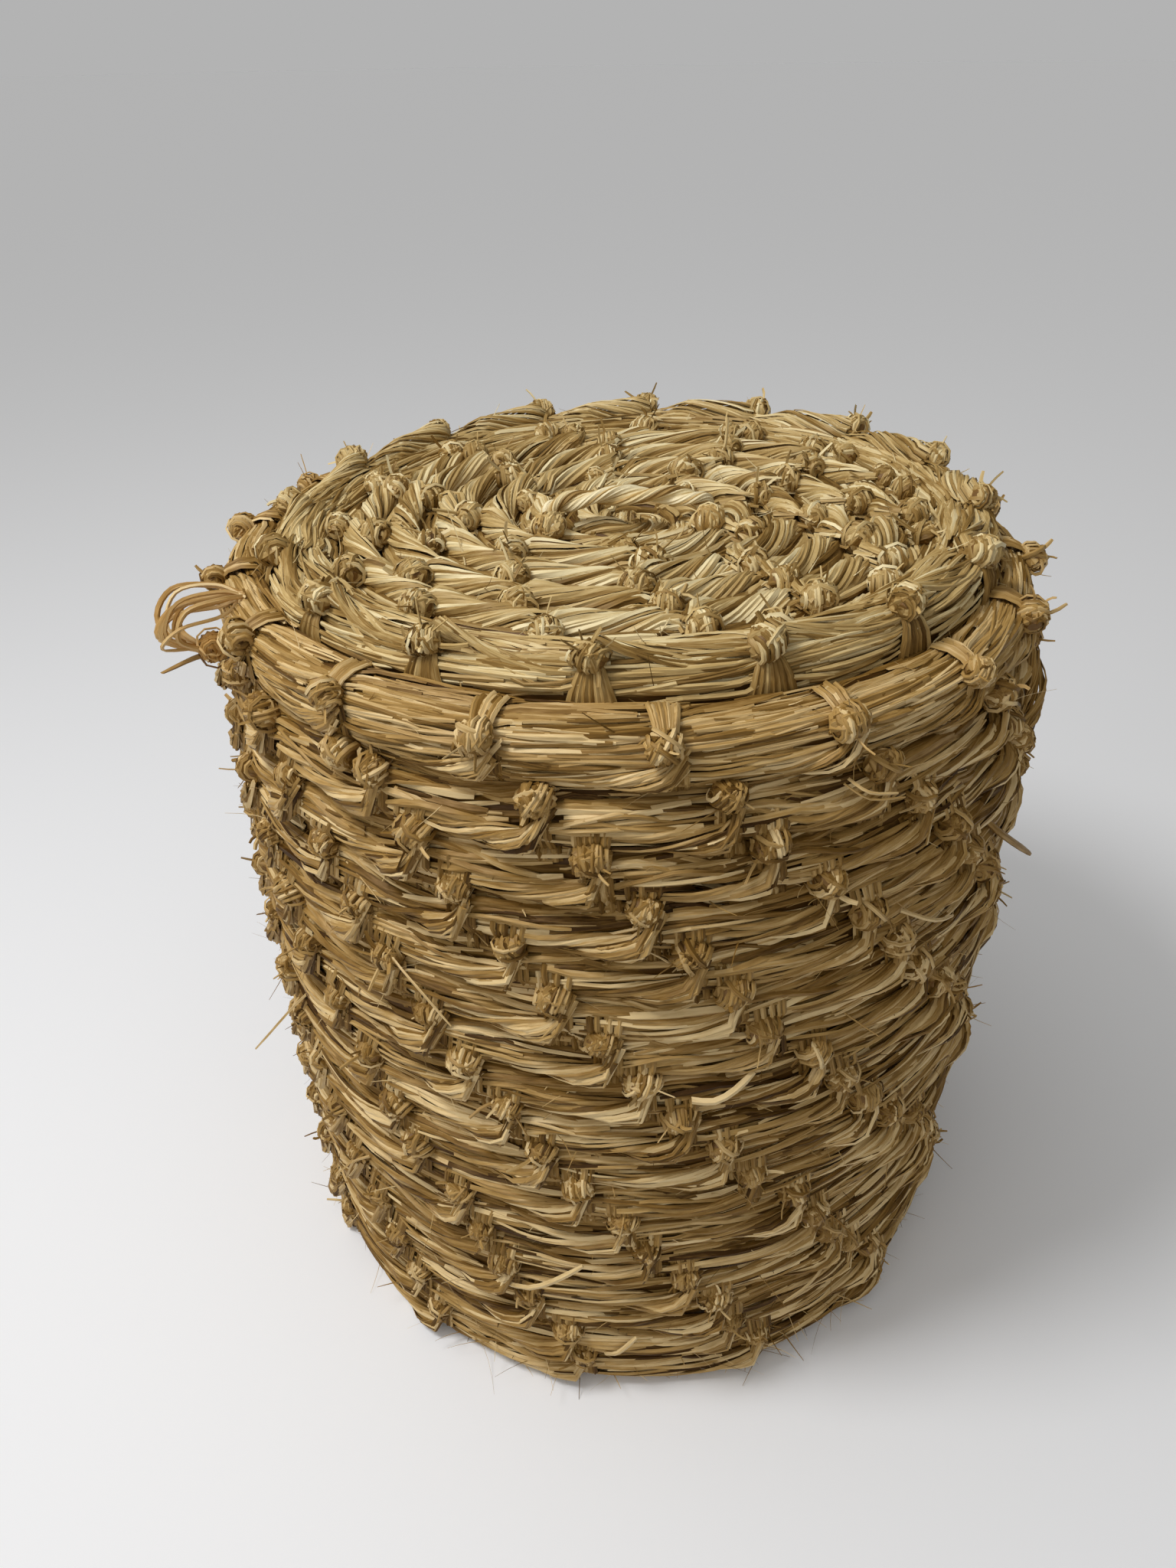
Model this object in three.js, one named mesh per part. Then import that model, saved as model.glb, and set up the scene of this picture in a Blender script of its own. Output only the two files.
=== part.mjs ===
import * as THREE from "three";

// A round straw basket with a lift-off lid, coiled from thick ropes of straw that are tied
// to each other, row by row, with wisps that end in ball knots.
// Millimetres, +Z up. The origin is the middle of the base's underside, on the floor.
// An angle is counted from the front (-Y) towards the right (+X), in degrees.

// Body
const WALL_HEIGHT = 439.6; // floor to the top of the last wall row
const WALL_BASE_RADIUS = 213; // outside of the rope at the floor
const WALL_MIDDLE_RADIUS = 222; // outside of the rope at half height
const WALL_TOP_RADIUS = 221; // outside of the rope under the rim
const WALL_PITCH = 27; // one row of the wall
const WALL_ROPE_DEPTH = 30; // the wall's thickness, from inside to outside
const WALL_END_ANGLE = 35; // where the rope runs out under the rim
const WALL_STEPS = 24; // steps in one turn
const WALL_LENGTHS = 4; // the wall's rope is laid in so many lengths, end to end
const RIM_HEIGHT = 29; // the thick last turn
const RIM_OVERHANG = 1; // it stands out this far past the wall
const BASE_PITCH = 26; // one ring of the base
const BASE_THICKNESS = 22;
const BASE_STEPS = 16;
const BASE_KNOT_RADIUS = 12; // the knot that the base starts from
const LEAST_TIED_HEIGHT = 24; // rows whose upper edge lies lower than this have no ties

// Lid
const LID_RIM_HEIGHT = 31; // the thick outer turn of the lid
const LID_PITCH = 25.7; // one ring of the lid
const LID_THICKNESS = 23;
const LID_STEPS = 20;
const LID_END_ANGLE = -20; // where the lid's rope runs out against its rim
const LID_KNOT_RADIUS = 7; // the knot that the lid starts from
const LID_BARE_TURNS = 2.6; // the lid's innermost turns, which have no ties

// Ties
const KNOT_HALF = 8.5; // half the width of a ball knot
const KNOT_LENGTH = 10; // the thick part of a knot, along the row
const WISP_HALF_OUT = 2; // half the thickness of the wisp between two knots
const WISP_HALF_WIDE = 6; // half the width of the wisp, where it fans out
const STITCH_AT_RIM = 78; // knot to knot, along the rim
const STITCH_AT_BASE = 102; // knot to knot, along the lowest row
const STITCH_ON_LID = 66; // knot to knot, along the lid's rings
const STITCH_ON_LID_RIM = 70;
const FIRST_KNOT_ANGLE = 2; // the rim knot nearest the front
const KNOT_LEAN = 6.2; // each row's knots stand this many degrees right of the row above
const LID_FIRST_KNOT_ANGLE = -6.5; // the lid rim's knot nearest the front
const LID_KNOT_LEAN = 9;
const SEAM_HALF_ANGLE = 8; // rows of ties start and end this far from the back

// Handle on the lid: a rope of straw, tied down at both ends
const HANDLE_SPAN = 84; // foot to foot
const HANDLE_RISE = 17; // foot to crest, on the rope's centre line
const HANDLE_ROPE_RADIUS = 5;
const HANDLE_OFFSET_Y = -18; // the handle lies a little towards the front
const HANDLE_SIDES = 8;
const HANDLE_STEPS = 14;
const HANDLE_KNOT_RADIUS = 8;
const HANDLE_KNOT_AHEAD = 16; // the foot knots lie this far before the feet
const HANDLE_KNOT_SINK = 0.8; // and this much lower than a ball would, because they have facets

// Loop of loose straw beside the rim, left of the front
const LOOP_ANGLE = -67;
const LOOP_KNOT_RADIUS = 8;
const LOOP_REACH = 36; // how far it stands out from the rim
const LOOP_HEIGHT = 30;
const LOOP_STRAW_RADIUS = 2.5;
const LOOP_SIDES = 6;
const LOOP_STEPS = 12;

// Clearances
const COIL_GAP = 0.6; // between two turns of one rope
const SEAT_GAP = 0.3; // between two pieces that rest on each other
const FACET_GAP = 1.5; // lost between the base's facets and the wall's, whose corners differ

const DEGREE = Math.PI / 180;
const HEXAGON_FLAT = Math.cos(30 * DEGREE); // a hexagon's flat, as a share of its corner radius
const HALF_TURN = 180;
const FULL_TURN = 360;
const THINNEST_TURN = 0.12; // a wound rope starts and ends at this share of a pitch

const straw = {
  wall: new THREE.MeshStandardMaterial({ color: 0xb08f56, roughness: 0.82, metalness: 0 }),
  base: new THREE.MeshStandardMaterial({ color: 0x9f8350, roughness: 0.86, metalness: 0 }),
  lid: new THREE.MeshStandardMaterial({ color: 0xb79b68, roughness: 0.8, metalness: 0 }),
  ties: new THREE.MeshStandardMaterial({ color: 0xc0a063, roughness: 0.72, metalness: 0 }),
  handle: new THREE.MeshStandardMaterial({ color: 0xcbb074, roughness: 0.68, metalness: 0 }),
};

const clamp = THREE.MathUtils.clamp;

// A point at an angle from the front, a radius from the basket's axis and a height.
function around(angle, radius, height) {
  const turn = angle * DEGREE;
  return new THREE.Vector3(radius * Math.sin(turn), -radius * Math.cos(turn), height);
}

function signedVolume(points, faces) {
  let volume = 0;
  for (const [a, b, c] of faces) {
    volume += points[a].dot(points[b].clone().cross(points[c])) / 6;
  }
  return volume;
}

// One closed body through a row of rings, each with as many points, with a flat face at each end.
function throughRings(rings) {
  const sides = rings[0].length;
  const points = rings.flat();
  const faces = [];
  for (let ring = 0; ring < rings.length - 1; ring += 1) {
    for (let side = 0; side < sides; side += 1) {
      const next = (side + 1) % sides;
      const low = ring * sides;
      const high = low + sides;
      faces.push([low + side, low + next, high + next]);
      faces.push([low + side, high + next, high + side]);
    }
  }
  const last = (rings.length - 1) * sides;
  for (let side = 1; side < sides - 1; side += 1) {
    faces.push([0, side + 1, side]);
    faces.push([last, last + side, last + side + 1]);
  }
  const inverted = signedVolume(points, faces) < 0;
  const index = faces.flatMap(([a, b, c]) => (inverted ? [a, c, b] : [a, b, c]));
  const geometry = new THREE.BufferGeometry();
  geometry.setAttribute("position", new THREE.Float32BufferAttribute(points.flatMap((p) => p.toArray()), 3));
  geometry.setIndex(index);
  return geometry;
}

function piece(name, geometry, material) {
  const mesh = new THREE.Mesh(geometry, material);
  mesh.name = name;
  return mesh;
}

// The rope's section: a hexagon with a corner at the inside and the outside, flat above and below.
function ropeSection(angle, radius, height, halfDepth, halfHeight) {
  const corners = [[1, 0], [0.5, 1], [-0.5, 1], [-1, 0], [-0.5, -1], [0.5, -1]];
  return corners.map(([out, up]) => around(angle, radius + out * halfDepth, height + up * halfHeight));
}

// The least distance between points of the rope and points of the turn beside them.
function leastGap(rings, stepsPerTurn) {
  let least = Infinity;
  for (let here = 0; here + stepsPerTurn < rings.length; here += 1) {
    for (const nearby of [stepsPerTurn - 1, stepsPerTurn, stepsPerTurn + 1]) {
      const beside = rings[Math.min(here + nearby, rings.length - 1)];
      for (const point of rings[here]) {
        least = Math.min(least, ...beside.map((other) => point.distanceTo(other)));
      }
    }
  }
  return least;
}

// The sections of a rope wound in turns between two limits. Turn number `turn` fills the space
// from (turn - 1) to turn pitches, cut off at both limits, so the first turn grows from nothing
// and the last runs out level. `ringAt(turn, low, high)` gives the section there.
function woundRope(name, extent, pitch, stepsPerTurn, ringAt) {
  const lastTurn = extent / pitch + 1 - THINNEST_TURN;
  const steps = Math.ceil((lastTurn - THINNEST_TURN) * stepsPerTurn);
  const rings = [];
  for (let step = 0; step <= steps; step += 1) {
    const turn = Math.min(THINNEST_TURN + step / stepsPerTurn, lastTurn);
    const low = clamp((turn - 1) * pitch, 0, extent);
    const high = clamp(turn * pitch, 0, extent);
    rings.push(ringAt(turn, low, high));
  }
  console.log(`${name}: least gap to itself ${leastGap(rings, stepsPerTurn).toFixed(2)} mm`);
  return rings;
}

// A rope's sections, cut into as many lengths, whose ends lie a gap apart.
function inLengths(rings, count) {
  const lengths = [];
  for (let length = 0; length < count; length += 1) {
    const first = Math.round((length * (rings.length - 1)) / count);
    const last = Math.round(((length + 1) * (rings.length - 1)) / count);
    const stretch = rings.slice(first, last + 1);
    if (length > 0) {
      const [start, next] = stretch;
      const share = COIL_GAP / start[0].distanceTo(next[0]);
      stretch[0] = start.map((point, corner) => point.clone().lerp(next[corner], share));
    }
    lengths.push(stretch);
  }
  return lengths;
}

// One thick turn, planar, whose two ends meet.
function singleTurn(startAngle, radius, height, halfDepth, halfHeight) {
  const endGap = COIL_GAP / radius / DEGREE;
  const rings = [];
  for (let step = 0; step <= WALL_STEPS; step += 1) {
    const turned = Math.min((step * FULL_TURN) / WALL_STEPS, FULL_TURN - endGap);
    rings.push(ropeSection(startAngle + turned, radius, height, halfDepth, halfHeight));
  }
  return throughRings(rings);
}

// The wall's outside radius at a height: a gentle belly through three measured radii.
function wallRadius(height) {
  const share = clamp(height / WALL_HEIGHT, 0, 1);
  const atBase = WALL_BASE_RADIUS * (1 - share) * (1 - 2 * share);
  const atMiddle = WALL_MIDDLE_RADIUS * 4 * share * (1 - share);
  const atTop = WALL_TOP_RADIUS * share * (2 * share - 1);
  return atBase + atMiddle + atTop;
}

const wallHalfDepth = WALL_ROPE_DEPTH / 2;
const wallTurns = WALL_HEIGHT / WALL_PITCH + 1;
const wallStartAngle = WALL_END_ANGLE - FULL_TURN * wallTurns;

function makeWallCoil() {
  const fullHalf = (WALL_PITCH - COIL_GAP) / 2;
  const rings = woundRope("wall_coil", WALL_HEIGHT, WALL_PITCH, WALL_STEPS, (turn, low, high) => {
    const bottom = low === 0 ? 0 : low + COIL_GAP / 2;
    const top = high - COIL_GAP / 2;
    const halfHeight = (top - bottom) / 2;
    const thickness = clamp(0.4 + (0.6 * halfHeight) / fullHalf, 0, 1);
    const height = (top + bottom) / 2;
    const radius = wallRadius(height) - wallHalfDepth;
    const angle = wallStartAngle + FULL_TURN * turn;
    return ropeSection(angle, radius, height, wallHalfDepth * thickness, halfHeight);
  });
  const lengths = inLengths(rings, WALL_LENGTHS);
  return lengths.map((stretch, index) => piece(`wall_coil_${index + 1}`, throughRings(stretch), straw.wall));
}

// A flat spiral between two radii, whose middle height is `height`.
function flatCoil(name, innerRadius, outerRadius, pitch, thickness, height, stepsPerTurn, way, endAngle) {
  const extent = outerRadius - innerRadius;
  const turns = extent / pitch + 1;
  const fullHalf = (pitch - COIL_GAP) / 2;
  const rings = woundRope(name, extent, pitch, stepsPerTurn, (turn, low, high) => {
    const halfDepth = (high - low - COIL_GAP) / 2;
    const taper = clamp(0.5 + (0.5 * halfDepth) / fullHalf, 0, 1);
    const angle = endAngle + way * FULL_TURN * (turn - turns);
    const halfHeight = (thickness / 2) * taper;
    const level = height - (thickness / 2) * (1 - taper);
    return ropeSection(angle, innerRadius + (low + high) / 2, level, halfDepth, halfHeight);
  });
  return throughRings(rings);
}

const wallInnerRadius = wallRadius(WALL_PITCH / 2) - WALL_ROPE_DEPTH;
const baseOuterRadius = wallInnerRadius * Math.cos((HALF_TURN / WALL_STEPS) * DEGREE) + FACET_GAP - SEAT_GAP;

function makeBaseCoil() {
  const inner = BASE_KNOT_RADIUS + SEAT_GAP;
  const middle = BASE_THICKNESS / 2;
  const geometry = flatCoil("base_coil", inner, baseOuterRadius, BASE_PITCH, BASE_THICKNESS, middle,
    BASE_STEPS, 1, wallStartAngle);
  return piece("base_coil", geometry, straw.base);
}

// A turn is a polygon, not a circle: the share of its corners' radius that it has at an angle.
function facetShare(angle, cornerAngle, stepsPerTurn) {
  const step = FULL_TURN / stepsPerTurn;
  const fromCorner = THREE.MathUtils.euclideanModulo(angle - cornerAngle, step);
  return Math.cos((step / 2) * DEGREE) / Math.cos((fromCorner - step / 2) * DEGREE);
}

// A flat-bottomed bun: the knot that a flat coil starts from.
function startKnot(name, radius, thickness, material) {
  const waist = radius * 0.8;
  const profile = [
    new THREE.Vector2(0, 0),
    new THREE.Vector2(waist, 0),
    new THREE.Vector2(radius, thickness * 0.4),
    new THREE.Vector2(waist, thickness * 0.8),
    new THREE.Vector2(0, thickness),
  ];
  const geometry = new THREE.LatheGeometry(profile, BASE_STEPS);
  geometry.rotateX(90 * DEGREE);
  return piece(name, geometry, material);
}

const rimCornerRadius = RIM_HEIGHT / 2 / HEXAGON_FLAT;
const rimRadius = WALL_TOP_RADIUS + RIM_OVERHANG - rimCornerRadius;
const rimLevel = WALL_HEIGHT + SEAT_GAP + RIM_HEIGHT / 2;

function makeRimCoil() {
  const geometry = singleTurn(WALL_END_ANGLE, rimRadius, rimLevel, rimCornerRadius, RIM_HEIGHT / 2);
  return piece("rim_coil", geometry, straw.wall);
}

// A ring of a tie: a diamond around the tie's centre line. `place(angle, out, across)` turns
// the tie's own directions into a point: away from the coil, and across its rows.
function diamond(place, { angle, out, across, halfOut, halfWide }) {
  return [
    place(angle, out + halfOut, across),
    place(angle, out, across + halfWide),
    place(angle, out - halfOut, across),
    place(angle, out, across - halfWide),
  ];
}

// The angles of a row's knots: one at `anchor`, the others a stitch apart, clear of the seam.
function knotAngles(anchor, stitchAngle) {
  const limit = HALF_TURN - SEAM_HALF_ANGLE;
  const first = Math.ceil((-limit - anchor) / stitchAngle);
  const last = Math.floor((limit - anchor) / stitchAngle);
  const angles = [];
  for (let stitch = first; stitch <= last; stitch += 1) {
    angles.push(anchor + stitch * stitchAngle);
  }
  return angles;
}

// A row of ties: a wisp of straw that lies along the coil and gathers into ball knots. After
// each knot it fans out on the row and then climbs to the next knot.
function tieRow(name, place, angles, stitchAngle, radius, seat) {
  const degreesPerMillimetre = 1 / radius / DEGREE;
  const halfKnotAngle = (KNOT_LENGTH / 2) * degreesPerMillimetre;
  const tailAngle = KNOT_LENGTH * degreesPerMillimetre;
  const chordSag = radius * (1 - Math.cos(stitchAngle * 0.25 * DEGREE));
  const wispOut = seat.wispOut + WISP_HALF_OUT + chordSag;
  const wisp = (angle) => diamond(place, {
    angle,
    out: wispOut,
    across: seat.wispAcross,
    halfOut: WISP_HALF_OUT,
    halfWide: WISP_HALF_WIDE,
  });
  const knot = (angle) => diamond(place, {
    angle,
    out: seat.knotOut,
    across: 0,
    halfOut: KNOT_HALF,
    halfWide: KNOT_HALF,
  });
  const rings = [wisp(angles[0] - tailAngle)];
  for (const angle of angles) {
    const isLast = angle === angles[angles.length - 1];
    rings.push(knot(angle - halfKnotAngle));
    rings.push(knot(angle + halfKnotAngle));
    rings.push(wisp(angle + (isLast ? tailAngle : stitchAngle / 2)));
  }
  return piece(name, throughRings(rings), straw.ties);
}

// How deep the groove between two rows is, and how far out a diamond's centre lies that
// touches both its sides.
function seatInGroove(grooveDepth, grooveHalfWidth) {
  const slope = grooveDepth / grooveHalfWidth;
  const restingOnCorners = -grooveDepth + KNOT_HALF * slope;
  const restingOnPoint = -grooveDepth + KNOT_HALF;
  return Math.max(restingOnCorners, restingOnPoint) + 2 * SEAT_GAP;
}

const topKnotTurn = wallTurns - 1 - WALL_END_ANGLE / FULL_TURN;

// The ties of the wall's rows, from the top row down. A row's knots sit in the groove above it.
function makeWallTies() {
  const rowsDown = Math.floor(topKnotTurn - LEAST_TIED_HEIGHT / WALL_PITCH) + 1;
  const ties = [];
  const seat = {
    knotOut: seatInGroove(wallHalfDepth / 2, WALL_PITCH / 2),
    wispAcross: -0.4 * WALL_PITCH,
    wispOut: 2 * SEAT_GAP,
  };
  for (let row = 1; row <= rowsDown; row += 1) {
    const share = row / rowsDown;
    const stitch = THREE.MathUtils.lerp(STITCH_AT_RIM, STITCH_AT_BASE, share);
    const rowTop = (angle) => (topKnotTurn - (row - 1) + angle / FULL_TURN) * WALL_PITCH;
    const groove = (angle) => Math.min(rowTop(angle), WALL_HEIGHT);
    const isFullRow = (angle) => rowTop(angle) < WALL_HEIGHT + WALL_PITCH / 8;
    const place = (angle, out, across) => {
      const height = groove(angle);
      const besideRadius = Math.max(wallRadius(height - WALL_PITCH / 2), wallRadius(height + WALL_PITCH / 2));
      return around(angle, besideRadius + out, height + across);
    };
    const radius = wallRadius(groove(0));
    const stitchAngle = stitch / radius / DEGREE;
    const angles = knotAngles(FIRST_KNOT_ANGLE + KNOT_LEAN * row, stitchAngle).filter(isFullRow);
    const name = `wall_ties_row_${String(row).padStart(2, "0")}`;
    ties.push(tieRow(name, place, angles, stitchAngle, radius, seat));
  }
  return ties;
}

// Ties on a thick single turn: they lie on its shoulder, in the direction `lean` above level.
function shoulderPlace(coilRadius, coilLevel, surface, lean) {
  const outward = Math.cos(lean * DEGREE);
  const upward = Math.sin(lean * DEGREE);
  return (angle, out, across) => {
    const distance = surface + out;
    const radius = coilRadius + distance * outward - across * upward;
    const height = coilLevel + distance * upward + across * outward;
    return around(angle, radius, height);
  };
}

function makeRimTies() {
  const place = shoulderPlace(rimRadius, rimLevel, RIM_HEIGHT / 2, 30);
  const radius = rimRadius + RIM_HEIGHT / 2;
  const stitchAngle = STITCH_AT_RIM / radius / DEGREE;
  const seat = { knotOut: KNOT_HALF + SEAT_GAP, wispAcross: 0, wispOut: SEAT_GAP };
  return tieRow("rim_ties", place, knotAngles(FIRST_KNOT_ANGLE, stitchAngle), stitchAngle, radius, seat);
}

// The lid rests with a flat of its rim's rope on a flat of the body's rim, 30 degrees from
// level, so the two ropes' centres lie in the direction across those flats.
const lidSeatDistance = RIM_HEIGHT / 2 + LID_RIM_HEIGHT / 2 + SEAT_GAP;
const lidRimRadius = rimRadius - lidSeatDistance * HEXAGON_FLAT;
const lidLevel = rimLevel + lidSeatDistance / 2;
const lidRimCornerRadius = LID_RIM_HEIGHT / 2 / HEXAGON_FLAT;
const lidCoilOuterRadius = (lidRimRadius - lidRimCornerRadius)
  * Math.cos((HALF_TURN / WALL_STEPS) * DEGREE) - SEAT_GAP;
const lidTop = LID_THICKNESS / 2;

function makeLidRimCoil() {
  const geometry = singleTurn(WALL_END_ANGLE - HALF_TURN, lidRimRadius, 0, lidRimCornerRadius,
    LID_RIM_HEIGHT / 2);
  return piece("lid_rim_coil", geometry, straw.lid);
}

function makeLidCoil() {
  const inner = LID_KNOT_RADIUS + SEAT_GAP;
  const geometry = flatCoil("lid_coil", inner, lidCoilOuterRadius, LID_PITCH, LID_THICKNESS, 0,
    LID_STEPS, -1, LID_END_ANGLE);
  return piece("lid_coil", geometry, straw.lid);
}

function makeLidRimTies() {
  const place = shoulderPlace(lidRimRadius, 0, lidRimCornerRadius, 60);
  const stitchAngle = STITCH_ON_LID_RIM / lidRimRadius / DEGREE;
  const seat = { knotOut: KNOT_HALF + SEAT_GAP, wispAcross: 0, wispOut: SEAT_GAP };
  const angles = knotAngles(LID_FIRST_KNOT_ANGLE, stitchAngle);
  return tieRow("lid_rim_ties", place, angles, stitchAngle, lidRimRadius, seat);
}

// The ties of the lid's rings, from the outer ring in. The rope runs the other way round here.
function makeLidTies() {
  const extent = lidCoilOuterRadius - LID_KNOT_RADIUS - SEAT_GAP;
  const turns = extent / LID_PITCH + 1;
  const rowsIn = Math.floor(turns - LID_BARE_TURNS);
  const seat = {
    knotOut: seatInGroove(LID_THICKNESS / 2, LID_PITCH / 4) + 4 * SEAT_GAP,
    wispAcross: -0.1 * LID_PITCH,
    wispOut: SEAT_GAP,
  };
  const ties = [];
  for (let row = 1; row <= rowsIn; row += 1) {
    const rowEdge = (angle) => (turns - row - (angle - LID_END_ANGLE) / FULL_TURN) * LID_PITCH;
    const groove = (angle) => LID_KNOT_RADIUS + SEAT_GAP + Math.min(rowEdge(angle), extent);
    const isFullRow = (angle) => rowEdge(angle) < extent + LID_PITCH / 4;
    const cornerAngle = LID_END_ANGLE + FULL_TURN * (turns - THINNEST_TURN);
    const place = (angle, out, across) => {
      const facet = facetShare(angle, cornerAngle, LID_STEPS);
      return around(angle, groove(angle) * facet + across, lidTop + out);
    };
    const radius = groove(0);
    const stitchAngle = STITCH_ON_LID / radius / DEGREE;
    const angles = knotAngles(LID_FIRST_KNOT_ANGLE - LID_KNOT_LEAN * row, stitchAngle).filter(isFullRow);
    ties.push(tieRow(`lid_ties_ring_${row}`, place, angles, stitchAngle, radius, seat));
  }
  return ties;
}

// A tube of straw along a curve in one plane, with rounded ends. `side` is the plane's normal.
function planarTube(curve, side, tubeRadius, sides, steps) {
  const endRings = [[-0.92, 0.4], [-0.6, 0.8]]; // how far past the end, and how wide, in radii
  const length = curve.getLength();
  const ringAt = (along, width) => {
    const share = clamp(along / length, 0, 1);
    const centre = curve.getPointAt(share);
    const forward = curve.getTangentAt(share);
    centre.addScaledVector(forward, along - share * length);
    const up = side.clone().cross(forward);
    const ring = [];
    for (let corner = 0; corner < sides; corner += 1) {
      const turn = (corner * FULL_TURN * DEGREE) / sides;
      const point = centre.clone();
      point.addScaledVector(side, width * Math.cos(turn));
      point.addScaledVector(up, width * Math.sin(turn));
      ring.push(point);
    }
    return ring;
  };
  const rings = [];
  for (const [past, width] of endRings) {
    rings.push(ringAt(past * tubeRadius, width * tubeRadius));
  }
  for (let step = 0; step <= steps; step += 1) {
    rings.push(ringAt((length * step) / steps, tubeRadius));
  }
  for (const [past, width] of [...endRings].reverse()) {
    rings.push(ringAt(length - past * tubeRadius, width * tubeRadius));
  }
  return throughRings(rings);
}

// The handle turns a little about the line through its feet, whose ends are round.
function makeHandle() {
  const half = HANDLE_SPAN / 2;
  const curve = new THREE.CatmullRomCurve3([
    new THREE.Vector3(-half, 0, 0),
    new THREE.Vector3(-half * 0.95, 0, HANDLE_RISE * 0.6),
    new THREE.Vector3(-half * 0.6, 0, HANDLE_RISE * 0.98),
    new THREE.Vector3(0, 0, HANDLE_RISE),
    new THREE.Vector3(half * 0.6, 0, HANDLE_RISE * 0.98),
    new THREE.Vector3(half * 0.95, 0, HANDLE_RISE * 0.6),
    new THREE.Vector3(half, 0, 0),
  ]);
  const side = new THREE.Vector3(0, 1, 0);
  const geometry = planarTube(curve, side, HANDLE_ROPE_RADIUS, HANDLE_SIDES, HANDLE_STEPS);
  const handle = piece("lid_handle", geometry, straw.handle);
  handle.position.set(0, HANDLE_OFFSET_Y, lidTop + HANDLE_ROPE_RADIUS + SEAT_GAP);
  return handle;
}

function ballKnot(name, radius, material) {
  return piece(name, new THREE.IcosahedronGeometry(radius, 1), material);
}

function makeHandleKnots() {
  return [["left", -1], ["right", 1]].map(([sideName, sign]) => {
    const knot = ballKnot(`lid_handle_knot_${sideName}`, HANDLE_KNOT_RADIUS, straw.handle);
    const ahead = HANDLE_OFFSET_Y - HANDLE_KNOT_AHEAD;
    const level = lidTop + HANDLE_KNOT_RADIUS + SEAT_GAP - HANDLE_KNOT_SINK;
    knot.position.set((sign * HANDLE_SPAN) / 2, ahead, level);
    return knot;
  });
}

// The loose loop: a knot on the rim's outside, and straws that bow out from it and back to
// the rim's top. Both lie in the plane through the basket's axis at LOOP_ANGLE.
function makeSideLoop() {
  const group = new THREE.Group();
  const rimOutside = rimRadius + rimCornerRadius;
  group.rotation.z = LOOP_ANGLE * DEGREE;
  const knot = ballKnot("side_loop_knot", LOOP_KNOT_RADIUS, straw.ties);
  const knotOut = rimOutside + LOOP_KNOT_RADIUS + SEAT_GAP;
  const knotLevel = rimLevel - RIM_HEIGHT * 0.25;
  knot.position.set(0, -knotOut, knotLevel);
  const startOut = knotOut + LOOP_KNOT_RADIUS + LOOP_STRAW_RADIUS + SEAT_GAP;
  const outermost = rimOutside + LOOP_REACH - LOOP_STRAW_RADIUS;
  const endOut = rimRadius + rimCornerRadius * 0.35;
  const endLevel = rimLevel + RIM_HEIGHT / 2 + LOOP_STRAW_RADIUS + SEAT_GAP;
  const crestLevel = knotLevel + LOOP_HEIGHT;
  const curve = new THREE.CatmullRomCurve3([
    new THREE.Vector3(0, -startOut, knotLevel),
    new THREE.Vector3(0, -outermost, knotLevel + LOOP_HEIGHT * 0.4),
    new THREE.Vector3(0, -(startOut + outermost) / 2, crestLevel),
    new THREE.Vector3(0, -(startOut + endOut) / 2, crestLevel + LOOP_STRAW_RADIUS),
    new THREE.Vector3(0, -endOut, endLevel),
  ]);
  const side = new THREE.Vector3(1, 0, 0);
  const geometry = planarTube(curve, side, LOOP_STRAW_RADIUS, LOOP_SIDES, LOOP_STEPS);
  group.add(knot, piece("side_loop", geometry, straw.ties));
  return group;
}

const basket = new THREE.Group();
const body = new THREE.Group();
body.add(startKnot("base_start_knot", BASE_KNOT_RADIUS, BASE_THICKNESS, straw.base));
body.add(makeBaseCoil());
body.add(...makeWallCoil());
body.add(makeRimCoil());
body.add(...makeWallTies());
body.add(makeRimTies());
body.add(makeSideLoop());

const lid = new THREE.Group();
lid.position.z = lidLevel;
const lidKnot = startKnot("lid_start_knot", LID_KNOT_RADIUS, LID_THICKNESS, straw.lid);
lidKnot.position.z = -LID_THICKNESS / 2;
lid.add(lidKnot);
lid.add(makeLidCoil());
lid.add(makeLidRimCoil());
lid.add(makeLidRimTies());
lid.add(...makeLidTies());
lid.add(makeHandle());
lid.add(...makeHandleKnots());
basket.add(body, lid);

export default basket;
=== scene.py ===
"""A coiled straw basket with a lift-off lid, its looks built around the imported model.

The basket is a thick rope of straw, wound up from the floor and tied row to row with wisps that
end in ball knots. Every strand that shows is a flat straw blade: a guide line with an outward
direction and a half width, swept into a closed blade by a Geometry Nodes tree. Lengths are in
metres, +Z is up and the front is -Y. An angle counts from the front towards the right (+X), in
degrees. A turn counts a rope's windings from its start.
"""

import logging
import math
from dataclasses import dataclass, field, replace
from enum import Enum
from functools import cache

import bpy
import numpy as np
from bpy.types import Material, Mesh, Node, NodeSocket, NodeTree, Object, Scene, World
from mathutils import Matrix, Vector
from numpy import ndarray as Array

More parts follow.
